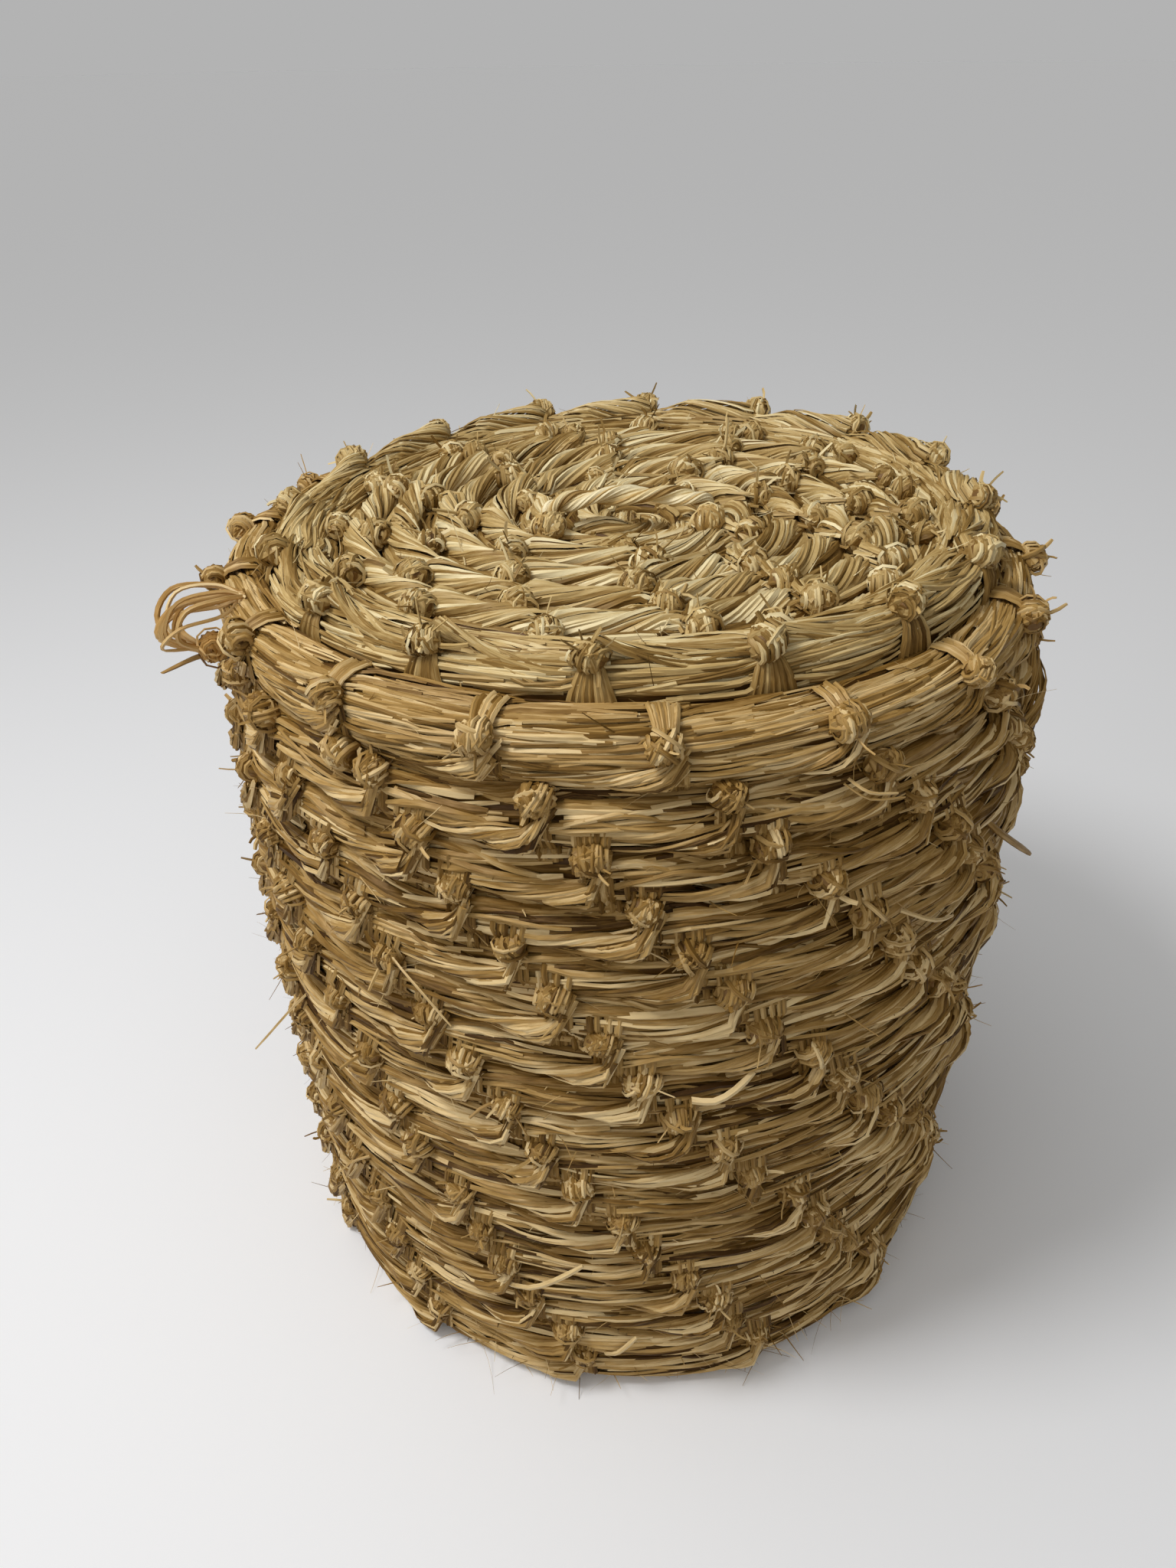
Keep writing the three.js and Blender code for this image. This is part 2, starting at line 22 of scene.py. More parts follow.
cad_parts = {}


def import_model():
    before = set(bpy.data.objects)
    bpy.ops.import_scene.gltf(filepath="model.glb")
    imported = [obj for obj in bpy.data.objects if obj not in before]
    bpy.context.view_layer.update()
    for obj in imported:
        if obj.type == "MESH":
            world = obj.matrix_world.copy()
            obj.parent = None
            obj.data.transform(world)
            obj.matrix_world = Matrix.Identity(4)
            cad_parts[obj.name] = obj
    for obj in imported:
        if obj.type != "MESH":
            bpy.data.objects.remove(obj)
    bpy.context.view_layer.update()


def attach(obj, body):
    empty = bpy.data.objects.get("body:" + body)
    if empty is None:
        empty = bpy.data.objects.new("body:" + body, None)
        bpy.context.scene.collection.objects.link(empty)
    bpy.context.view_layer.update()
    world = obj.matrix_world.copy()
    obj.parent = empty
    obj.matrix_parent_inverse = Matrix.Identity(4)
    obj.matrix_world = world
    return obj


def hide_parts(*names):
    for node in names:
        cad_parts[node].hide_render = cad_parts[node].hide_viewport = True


Pair = tuple[float, float]
Triple = tuple[float, float, float]
Places = tuple[Triple, ...]
Sizes = tuple[Array, Array, Array, Array]

log = logging.getLogger("straw_basket")

MM = 0.001
PHOTO_WIDTH = 1536
PHOTO_HEIGHT = 2048
BASKET = "basket"
LID = "lid"
HANDLE = "handle"
UP = np.array([0.0, 0.0, 1.0])


# Small sums

def linear(hex_code: str) -> tuple[float, float, float, float]:
    """Turn an sRGB hex colour into linear values.

    Args:
        hex_code: Six hex digits, such as "b08f56".

    Returns:
        Red, green, blue and an alpha of 1.
    """
    values = [int(hex_code[i:i + 2], 16) / 255 for i in (0, 2, 4)]
    channels = [v / 12.92 if v <= 0.04045 else ((v + 0.055) / 1.055) ** 2.4 for v in values]
    return (*channels, 1.0)


def smooth(low: float, high: float, value: Array) -> Array:
    """Rise smoothly from 0 at `low` to 1 at `high`."""
    share = np.clip((value - low) / (high - low), 0, 1)
    return share * share * (3 - 2 * share)


def mix(first: Array, second: Array, share: Array) -> Array:
    """Return the mix of two arrays, all of `first` at share 0."""
    return first + (second - first) * share


def unit(vectors: Array) -> Array:
    """Scale each vector of an array to length 1."""
    return vectors / np.maximum(np.linalg.norm(vectors, axis=-1, keepdims=True), 1e-9)


def around(angle: Array, radius: Array, height: Array) -> Array:
    """Return points at angles from the front, radii from the basket's axis and heights."""
    turned = np.radians(angle)
    return np.stack(np.broadcast_arrays(radius * np.sin(turned), -radius * np.cos(turned), height), -1)


def ways_at(angle: float) -> Array:
    """Return the directions to the side, up and outward at an angle from the front."""
    outward = around(angle, 1.0, 0.0)
    return np.stack([np.cross(UP, outward), UP, outward])


def turned_towards(first: Array, second: Array, angle: Array) -> Array:
    """Return directions turned by angles, in radians, from the first direction towards the second."""
    return first * np.cos(angle)[..., None] + second * np.sin(angle)[..., None]


def through(values: Array, steps: Array) -> Array:
    """Read a smooth line that passes through evenly placed values.

    Args:
        values: The values.
        steps: Where to read it, counted in values from the first.

    Returns:
        The line's values.
    """
    padded = np.concatenate([[2 * values[0] - values[1]], values, [2 * values[-1] - values[-2]]])
    index = np.clip(np.floor(steps).astype(int), 0, len(values) - 2)
    share = steps - index
    before, here, after, beyond = (padded[index + k] for k in range(4))
    second = 2 * before - 5 * here + 4 * after - beyond
    third = 3 * here - before - 3 * after + beyond
    return 0.5 * (2 * here + (after - before) * share + second * share ** 2 + third * share ** 3)


# Node trees

def add(tree: NodeTree, kind: str, settings: dict | None = None, inputs: dict | None = None) -> Node:
    """Add a node with its settings, and fill or link its inputs.

    Args:
        tree: The shader or geometry tree.
        kind: The node's type.
        settings: Values for the node's own properties.
        inputs: Input names or numbers, each with a value, or with the socket or node to link from.

    Returns:
        The node.
    """
    node = tree.nodes.new(kind)
    for name, value in (settings or {}).items():
        setattr(node, name, value)
    for name, value in (inputs or {}).items():
        if isinstance(value, Node):
            value = value.outputs[0]
        if isinstance(value, NodeSocket):
            tree.links.new(value, node.inputs[name])
        else:
            node.inputs[name].default_value = value
    return node


def reckon(tree: NodeTree, operation: str, *values: Node | NodeSocket | float, clamp: bool = False) -> Node:
    """Add a node that reckons with what other nodes give and with numbers."""
    return add(tree, "ShaderNodeMath", {"operation": operation, "use_clamp": clamp}, dict(enumerate(values)))


def empty_tree(owner: Material | World) -> NodeTree:
    """Switch on the nodes of a material or the world, clear them away and return their tree."""
    owner.use_nodes = True
    owner.node_tree.nodes.clear()
    return owner.node_tree


def run_tree(name: str, mesh: Mesh, tree: NodeTree, values: dict) -> Object:
    """Run a geometry tree on a mesh and keep what it makes as a plain mesh.

    Args:
        name: The finished piece's name.
        mesh: The mesh that the tree starts from.
        tree: The geometry tree.
        values: The tree's named inputs and their values.

    Returns:
        An object with a plain mesh and no modifier, at the origin.
    """
    carrier = bpy.data.objects.new(name + "_carrier", mesh)
    bpy.context.scene.collection.objects.link(carrier)
    modifier = carrier.modifiers.new("tree", "NODES")
    modifier.node_group = tree
    sockets = {item.name: item.identifier for item in tree.interface.items_tree if item.in_out == "INPUT"}
    for socket_name, value in values.items():
        modifier[sockets[socket_name]] = value
    graph = bpy.context.evaluated_depsgraph_get()
    made = bpy.data.meshes.new_from_object(carrier.evaluated_get(graph), preserve_all_data_layers=True,
                                           depsgraph=graph)
    made.name = name
    bpy.data.objects.remove(carrier)
    piece = bpy.data.objects.new(name, made)
    bpy.context.scene.collection.objects.link(piece)
    return piece


@cache
def sweep_tree() -> NodeTree:
    """Build the geometry tree that sweeps guide lines into closed straw blades or ropes.

    Returns:
        The tree. Its inputs are the number of a section's corners, how thick the section is for its
        width, the angle past which an edge stays sharp, and the material.
    """
    tree = bpy.data.node_groups.new("straw sweep", "GeometryNodeTree")
    for side in ("INPUT", "OUTPUT"):
        tree.interface.new_socket("Geometry", in_out=side, socket_type="NodeSocketGeometry")
    for name, kind in (("Corners", "Int"), ("Thickness", "Float"), ("Sharp Angle", "Float"),
                       ("Material", "Material")):
        tree.interface.new_socket(name, in_out="INPUT", socket_type="NodeSocket" + kind)
    given = add(tree, "NodeGroupInput")
    lines = add(tree, "GeometryNodeMeshToCurve", None, {"Mesh": given})
    outward = add(tree, "GeometryNodeInputNamedAttribute", {"data_type": "FLOAT_VECTOR"}, {"Name": "outward"})
    faced = add(tree, "GeometryNodeSetCurveNormal", {"mode": "FREE"}, {"Curve": lines, "Normal": outward})
    width = add(tree, "GeometryNodeInputNamedAttribute", {"data_type": "FLOAT"}, {"Name": "half_width"})
    circle = add(tree, "GeometryNodeCurvePrimitiveCircle", None,
                 {"Resolution": given.outputs["Corners"], "Radius": 1.0})
    flat = add(tree, "ShaderNodeCombineXYZ", None, {"X": given.outputs["Thickness"], "Y": 1.0, "Z": 1.0})
    section = add(tree, "GeometryNodeTransform", None, {"Geometry": circle, "Scale": flat})
    parts = add(tree, "ShaderNodeSeparateXYZ", None, {"Vector": add(tree, "GeometryNodeInputPosition")})
    marked = add(tree, "GeometryNodeStoreNamedAttribute", {"data_type": "FLOAT", "domain": "POINT"},
                 {"Geometry": section, "Name": "across", "Value": parts.outputs["Y"]})
    swept = add(tree, "GeometryNodeCurveToMesh", None,
                {"Curve": faced, "Profile Curve": marked, "Scale": width, "Fill Caps": True})
    rounded = add(tree, "GeometryNodeSetShadeSmooth", {"domain": "FACE"},
                  {"Geometry": swept, "Shade Smooth": True})
    sharp = add(tree, "FunctionNodeCompare", {"data_type": "FLOAT", "operation": "GREATER_THAN"},
                {0: add(tree, "GeometryNodeInputMeshEdgeAngle"), 1: given.outputs["Sharp Angle"]})
    creased = add(tree, "GeometryNodeSetShadeSmooth", {"domain": "EDGE"},
                  {"Geometry": rounded, "Selection": sharp, "Shade Smooth": False})
    real = add(tree, "GeometryNodeRealizeInstances", None, {"Geometry": creased})
    dressed = add(tree, "GeometryNodeSetMaterial", None,
                  {"Geometry": real, "Material": given.outputs["Material"]})
    add(tree, "NodeGroupOutput", None, {"Geometry": dressed})
    return tree


# Pieces from guide lines

@dataclass
class Guides:
    """Guide lines of strands, each point with an outward direction, a half width and a tint."""

    # How much further on the streaks of a line start, for each point before it.
    STREAKS_APART = 0.0137

    points: list[Array] = field(default_factory=list)
    outward: list[Array] = field(default_factory=list)
    half_width: list[Array] = field(default_factory=list)
    tint: list[Array] = field(default_factory=list)

    def add(self, points: Array, outward: Array, half_width: Array, tint: Array) -> None:
        """Add lines that all have as many points.

        Args:
            points: Places, as lines by points by 3.
            outward: Directions that the blades' fronts face.
            half_width: Half the blades' width.
            tint: One shade for each line, from 0, pale, to 1, dark.
        """
        self.points.append(points)
        self.outward.append(unit(np.broadcast_to(outward, points.shape)))
        self.half_width.append(np.broadcast_to(half_width, points.shape[:2]))
        self.tint.append(np.broadcast_to(tint[:, None], points.shape[:2]))

    def strand(self, points: Array, outward: Array, half_width: Array | float, tint: Array | float) -> None:
        """Add one line, whose direction and half width may be the same all along."""
        self.add(points[None], outward, half_width, np.atleast_1d(tint))

    def mesh(self, name: str) -> Mesh:
        """Return the lines as a mesh of edges, with the attributes that the sweep tree reads."""
        edges = []
        along = []
        count = 0
        for points in self.points:
            lines, places = points.shape[:2]
            numbers = count + np.arange(lines * places).reshape(lines, places)
            edges.append(np.stack([numbers[:, :-1].ravel(), numbers[:, 1:].ravel()], 1))
            lengths = np.cumsum(np.linalg.norm(np.diff(points, axis=1), axis=-1), 1)
            along.append(np.pad(lengths, ((0, 0), (1, 0))) + numbers[:, :1] * self.STREAKS_APART)
            count += lines * places
        mesh = bpy.data.meshes.new(name)
        mesh.vertices.add(count)
        mesh.vertices.foreach_set("co", self._flat(self.points))
        mesh.edges.add(sum(map(len, edges)))
        mesh.edges.foreach_set("vertices", np.concatenate(edges).astype(np.int32).ravel())
        facing = mesh.attributes.new("outward", "FLOAT_VECTOR", "POINT")
        facing.data.foreach_set("vector", self._flat(self.outward))
        for label, values in (("half_width", self.half_width), ("tint", self.tint), ("along", along)):
            attribute = mesh.attributes.new(label, "FLOAT", "POINT")
            attribute.data.foreach_set("value", self._flat(values))
        return mesh

    @staticmethod
    def _flat(arrays: list[Array]) -> Array:
        """Return the numbers of arrays one after the other, as Blender takes them in."""
        return np.concatenate([array.ravel() for array in arrays]).astype(np.float32)


class Section(Enum):
    """The kinds of section that a guide line is swept with: corners, thickness, sharp angle."""

    BLADE = (3, 0.42, 60.0)
    STEM = (5, 0.9, 75.0)
    ROPE = (16, 1.0, 180.0)


@dataclass(frozen=True)
class Handmade:
    """How the basket strays from a true round, within the thickness of its straw.

    Attributes:
        tilt: How far the lid sits higher at the right than at the left, in degrees.
        seat_level: The level that the lid tilts about.
        drawn_in: How far the rim is drawn in at the right.
        side: Degrees from the front where that starts, is full, is still full and ends.
        levels: The heights where it starts and is full.
        middle: Nearer the axis than this it fades out.
        floor_layer: What would be lower than this is pressed together above the floor.
    """

    tilt: float = 1.6
    seat_level: float = 455.0 * MM
    drawn_in: float = 6.5 * MM
    side: tuple[float, float, float, float] = (28.0, 72.0, 112.0, 160.0)
    levels: Pair = (350.0 * MM, 432.0 * MM)
    middle: float = 100.0 * MM
    floor_layer: float = 1.6 * MM

    def shape(self, mesh: Mesh, body: str) -> None:
        """Move the mesh of a piece on a body to where the real straw lies."""
        count = len(mesh.vertices)
        places = np.empty(count * 3, dtype=np.float32)
        mesh.vertices.foreach_get("co", places)
        points = places.reshape(count, 3).astype(np.float64)
        points = self._draw_in(points) if body == BASKET else self._tilt(points)
        mesh.vertices.foreach_set("co", points.astype(np.float32).ravel())
        mesh.update()

    def _tilt(self, points: Array) -> Array:
        """Return the lid's points, tilted about the seat."""
        sine, cosine = math.sin(math.radians(self.tilt)), math.cos(math.radians(self.tilt))
        x, y, z = points.T
        up = z - self.seat_level
        return np.stack([x * cosine - up * sine, y, self.seat_level + up * cosine + x * sine], -1)

    def _draw_in(self, points: Array) -> Array:
        """Return the body's points, drawn in at the right of the rim and pressed flat on the floor."""
        x, y, z = points.T
        angle = np.degrees(np.arctan2(x, -y))
        share = smooth(*self.side[:2], angle) * (1 - smooth(*self.side[2:], angle)) * smooth(*self.levels, z)
        scale = 1 - self.drawn_in * share / np.maximum(np.hypot(x, y), self.middle)
        layer = self.floor_layer
        pressed = np.where(z < layer, layer * np.exp((np.minimum(z, layer) - layer) / layer), z)
        return np.stack([x * scale, y * scale, pressed], -1)


def make(name: str, guides: Guides, material: Material, body: str, nodes: tuple[str, ...] = (),
         section: Section = Section.BLADE, thickness: float | None = None) -> None:
    """Sweep guide lines into a finished piece that rides on its body.

    Args:
        name: The piece's name.
        guides: The lines.
        material: The finish.
        body: The body.
        nodes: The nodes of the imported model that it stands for.
        section: The kind of section.
        thickness: The section's thickness for its width, where it isn't the kind's own.
    """
    corners, usual, sharp = section.value
    piece = run_tree(name, guides.mesh(name + "_guides"), sweep_tree(), {
        "Corners": corners,
        "Thickness": usual if thickness is None else thickness,
        "Sharp Angle": math.radians(sharp),
        "Material": material,
    })
    Handmade().shape(piece.data, body)
    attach(piece, body)
    if nodes:
        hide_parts(*nodes)
    log.info("%s: %d faces", piece.name, len(piece.data.polygons))


# Finishes

@dataclass(frozen=True)
class StrawFinish:
    """Dried rye straw, split and pressed flat: a waxy, faintly glossy skin with fine long ribs.

    Each strand keeps its own shade, from pale where it was bleached to brown where it aged.

    Attributes:
        name: The material's name.
        pale: The colour of the palest straw, and so on to that of the darkest.
        stops: The shades that the golden and the tan stand for.
        streaked: How far streaks along a strand change its shade.
        patched: How far patches of the basket do.
        lift: What is taken off, so that both change it either way.
        ribs_per_half_width: How many ribs a half width has.
        relief: How strongly they show.
        sheen: The gloss of the palest and of the darkest straw.
    """

    name: str
    pale: str
    golden: str
    tan: str
    brown: str
    stops: Pair = (0.36, 0.68)
    streaked: float = 0.8
    patched: float = 0.22
    lift: float = 0.51
    streak_length: float = 14.0 * MM
    patch: float = 45.0 * MM
    ribs_per_half_width: float = 1.9
    rib_height: float = 0.3 * MM
    relief: float = 0.55
    roughness: Pair = (0.36, 0.64)
    sheen: Pair = (0.45, 0.1125)

    # How far apart in the noise two strands lie whose shades differ by 1.
    STRANDS_APART = 91.0

    def material(self) -> Material:
        """Return the finish as a material that follows each strand."""
        material = bpy.data.materials.new(self.name)
        tree = empty_tree(material)
        tint, along, across = (add(tree, "ShaderNodeAttribute", {"attribute_name": name}).outputs["Fac"]
                               for name in ("tint", "along", "across"))
        place = add(tree, "ShaderNodeCombineXYZ", None, {
            "X": reckon(tree, "MULTIPLY", along, 1 / self.streak_length),
            "Y": reckon(tree, "MULTIPLY", across, self.ribs_per_half_width),
            "Z": reckon(tree, "MULTIPLY", tint, self.STRANDS_APART),
        })
        spot = add(tree, "ShaderNodeTexCoord").outputs["Object"]
        streaks = self._noise(tree, place, 1.0, 3.0, 0.6)
        ribs = self._noise(tree, place, 2.6, 2.0, 0.5)
        patches = self._noise(tree, spot, 1 / self.patch, 2.0, 0.5)
        streaked = reckon(tree, "MULTIPLY_ADD", streaks, self.streaked, tint)
        patched = reckon(tree, "MULTIPLY_ADD", patches, self.patched, streaked)
        shade = reckon(tree, "SUBTRACT", patched, self.lift, clamp=True)
        ramp = add(tree, "ShaderNodeValToRGB", None, {"Fac": shade})
        colours = ramp.color_ramp.elements
        colours[0].color = linear(self.pale)
        colours[1].color = linear(self.brown)
        colours.new(self.stops[0]).color = linear(self.golden)
        colours.new(self.stops[1]).color = linear(self.tan)
        # Pale skin keeps its wax and its gloss. Old brown skin is duller, and some streaks are rougher.
        gloss, sheen = (
            add(tree, "ShaderNodeMapRange", None, {"Value": value, "To Min": first, "To Max": last})
            for value, (first, last) in ((streaks, self.roughness), (shade, self.sheen)))
        bump = add(tree, "ShaderNodeBump", None,
                   {"Height": ribs, "Strength": self.relief, "Distance": self.rib_height})
        skin = add(tree, "ShaderNodeBsdfPrincipled", None, {
            "Base Color": ramp,
            "Roughness": gloss,
            "IOR": 1.45,
            "Specular IOR Level": sheen,
            "Normal": bump,
        })
        add(tree, "ShaderNodeOutputMaterial", None, {"Surface": skin})
        return material

    @staticmethod
    def _noise(tree: NodeTree, place: Node | NodeSocket, scale: float,
               detail: float, roughness: float) -> Node:
        """Add noise at places."""
        return add(tree, "ShaderNodeTexNoise", {"noise_dimensions": "3D"},
                   {"Vector": place, "Scale": scale, "Detail": detail, "Roughness": roughness})


# Ropes

@dataclass
class Rope:
    """A rope of straw that winds round the basket's axis.

    Attributes:
        end_angle: Where the rope ends.
        turns: The turn that it ends at.
        way: 1 where turns count towards the right of the front, -1 where they count to the left.
        lean: The direction that the rope's tied side faces, in degrees above level.
        side: 1 where the side that the next turn lies on is above or inside, -1 where it is outside.
    """

    # How full the section is: 1 makes it an ellipse, and less brings it nearer a box.
    FULLNESS = 0.82
    # Half the rope's thickness where it starts and ends.
    THINNEST = 0.4 * MM

    end_angle: float
    turns: float
    way: int
    lean: float
    side: int

    def angle(self, turn: Array) -> Array:
        """Return the angle at a turn."""
        return self.end_angle + self.way * 360 * (turn - self.turns)

    def section(self, turn: Array) -> Sizes:
        """Return the rope's radius and height about the axis, and half its depth and height."""
        raise NotImplementedError

    def outward(self, angle: Array, tilt: Array) -> Array:
        """Return directions at angles from the front, tilted up from level."""
        return turned_towards(around(angle, 1.0, 0.0), UP, np.radians(tilt))

    def surface(self, turn: Array, across: Array, out: Array) -> tuple[Array, Array]:
        """Return places on the rope and the directions that its surface faces there.

        Args:
            turn: Turns.
            across: Degrees round the section from its tied side, towards the next turn.
            out: Heights above the surface.

        Returns:
            Points and unit directions.
        """
        turn, across, out = np.broadcast_arrays(turn, across, out)
        radius, height, half_depth, half_height = self.section(turn)
        angle = self.angle(turn)
        tilt = np.radians(self.lean + self.side * across)
        cosine = np.cos(tilt)
        sine = np.sin(tilt)
        level = half_depth * np.sign(cosine) * np.abs(cosine) ** self.FULLNESS
        upright = half_height * np.sign(sine) * np.abs(sine) ** self.FULLNESS
        facing = unit(np.stack([cosine / half_depth, sine / half_height], -1))
        direction = around(angle, 1.0, 0.0) * facing[..., :1] + UP * facing[..., 1:]
        place = around(angle, radius + level, height + upright) + direction * out[..., None]
        return place, direction

    def across_direction(self, turn: Array, across: Array) -> Array:
        """Return the directions round the section, towards the next turn."""
        before, _ = self.surface(turn, across - 1, np.zeros(1))
        after, _ = self.surface(turn, across + 1, np.zeros(1))
        return unit(after - before)

    def turns_for(self, length: float, turn: float) -> float:
        """Return how many turns a length takes at a turn."""
        return length / (2 * math.pi * float(self.section(np.array(turn))[0]))


@dataclass
class CoiledRope(Rope):
    """A rope whose turns lie against each other.

    Attributes:
        pitch: How far it comes in a turn, upwards or outwards.
        extent: How far it comes in all.
    """

    pitch: float
    extent: float

    def spread(self, turn: Array) -> tuple[Array, Array]:
        """Return how far the rope's middle has come at a turn, and half its thickness that way."""
        low, high = (np.clip(end * self.pitch, 0, self.extent) for end in (turn - 1, turn))
        return (low + high) / 2, np.maximum((high - low) / 2, self.THINNEST)


@dataclass
class WallRope(CoiledRope):
    """The wall's rope, wound up from the floor."""

    base_radius: float
    middle_radius: float
    top_radius: float
    depth: float

    def outside(self, height: Array) -> Array:
        """Return the wall's outside radius at a height: a gentle belly."""
        share = np.clip(height / self.extent, 0, 1)
        at_base = self.base_radius * (1 - share) * (1 - 2 * share)
        at_middle = self.middle_radius * 4 * share * (1 - share)
        return at_base + at_middle + self.top_radius * share * (2 * share - 1)

    def section(self, turn: Array) -> Sizes:
        """Return the section, which thins out where the rope starts and ends."""
        height, half_height = self.spread(turn)
        thickness = np.clip(0.4 + 1.2 * half_height / self.pitch, 0, 1)
        return self.outside(height) - self.depth / 2, height, self.depth / 2 * thickness, half_height


@dataclass
class FlatRope(CoiledRope):
    """A rope wound in a flat spiral, from its start knot out."""

    inner: float
    level: float
    thickness: float

    def section(self, turn: Array) -> Sizes:
        """Return the section, which thins out where the rope starts and ends."""
        out, half_depth = self.spread(turn)
        taper = np.clip(0.5 + half_depth / self.pitch, 0, 1)
        height = self.level - self.thickness / 2 * (1 - taper)
        return self.inner + out, height, half_depth, self.thickness / 2 * taper


@dataclass
class RingRope(Rope):
    """A rope that makes one level turn."""

    radius: float
    level: float
    half: float

    def section(self, turn: Array) -> Sizes:
        """Return the section, the same all round."""
        same = np.ones_like(turn, dtype=float)
        return self.radius * same, self.level * same, self.half * same, self.half * same


# Ties

@dataclass(frozen=True)
class StitchStyle:
    """How the straws between two knots lie: they fan out, then gather into the next knot.

    Attributes:
        gathered: How many straws gather into the next knot.
        passing: How many run on behind it.
        underlay: How many wide straws lie under them.
        fan: The lowest and highest place of the fan, in degrees round the rope.
        cover: The same for the straws that pass on.
        gather: The shares of the stitch where straws bend towards the bundle, and reach it.
        ragged: How far single straws bend before or after that.
        bundle: Half the bundle's width where it has just gathered.
        tail: The same at the knot.
        line: Where the bundle runs, in degrees round the rope: at the bend, before the knot and
            at the knot.
        proud: How far the bundle's middle stands out, where it has gathered and at the knot.
        hook: How far past the knot the tail hooks up to it.
        twist: How far the bundle is twisted, in degrees.
        slope: How far straws rise from one knot to the next, in degrees round the rope.
        skew: How far single straws stray from that, in degrees.
        half_width: The narrowest and widest half width of a straw.
        loft: How thick the layer of straws is.
        painted_shade_limits: Below and above which places round the rope straws are painted darker, in
            degrees: painted shade in the grooves.
        painted_shade_strength: How much darker they are painted.
    """

    gathered: int = 28
    passing: int = 26
    underlay: int = 10
    fan: Pair = (-92.0, 84.0)
    cover: Pair = (-98.0, 94.0)
    gather: Pair = (0.34, 0.84)
    ragged: float = 0.14
    bundle: float = 8.2 * MM
    tail: float = 6.2 * MM
    line: Triple = (-34.0, -14.0, 46.0)
    proud: Pair = (1.8 * MM, 6.0 * MM)
    hook: float = 8.0 * MM
    twist: float = -170.0
    slope: float = 16.0
    skew: float = 19.0
    half_width: Pair = (1.0 * MM, 2.9 * MM)
    loft: float = 3.6 * MM
    # Straws down in the grooves are painted darker: painted shade where the grooves lie in shade.
    painted_shade_limits: Pair = (-68.0, 68.0)
    painted_shade_strength: float = 0.42


@dataclass(frozen=True)
class KnotStyle:
    """A ball knot: straws wound round a ball, with a neck above and a skirt below.

    Attributes:
        radius: The ball's radius.
        across: Where it sits: 1 in the groove to the next turn, 0 on the tied side's middle.
        out: How far its middle lies from the rope's middle, towards the tied side.
        bands: How many straws wind round it.
        neck: How many straws come down to it over the next turn.
        collar: Where the neck runs: turns on and degrees round the rope, from the knot on.
        skirt: How many straws hang down from it.
        hem: Where the skirt ends: turns back and degrees round the rope, from the knot on.
        strap: How many wide straws run from it round the rope's outside.
        stubs: The fewest and most cut straw ends that stick out of it.
    """

    radius: float = 7.8 * MM
    across: float = 1.0
    out: float = 16.6 * MM
    bands: int = 10
    neck: int = 7
    collar: tuple[Pair, ...] = ((0, 84), (1, -84), (1, -46), (1, -14), (1, 18))
    skirt: int = 8
    hem: tuple[Pair, ...] = ((0, 40), (0, -10), (0, -55), (-1, 76), (-1, 48), (-1, 26))
    strap: int = 0
    stubs: tuple[int, int] = (1, 4)


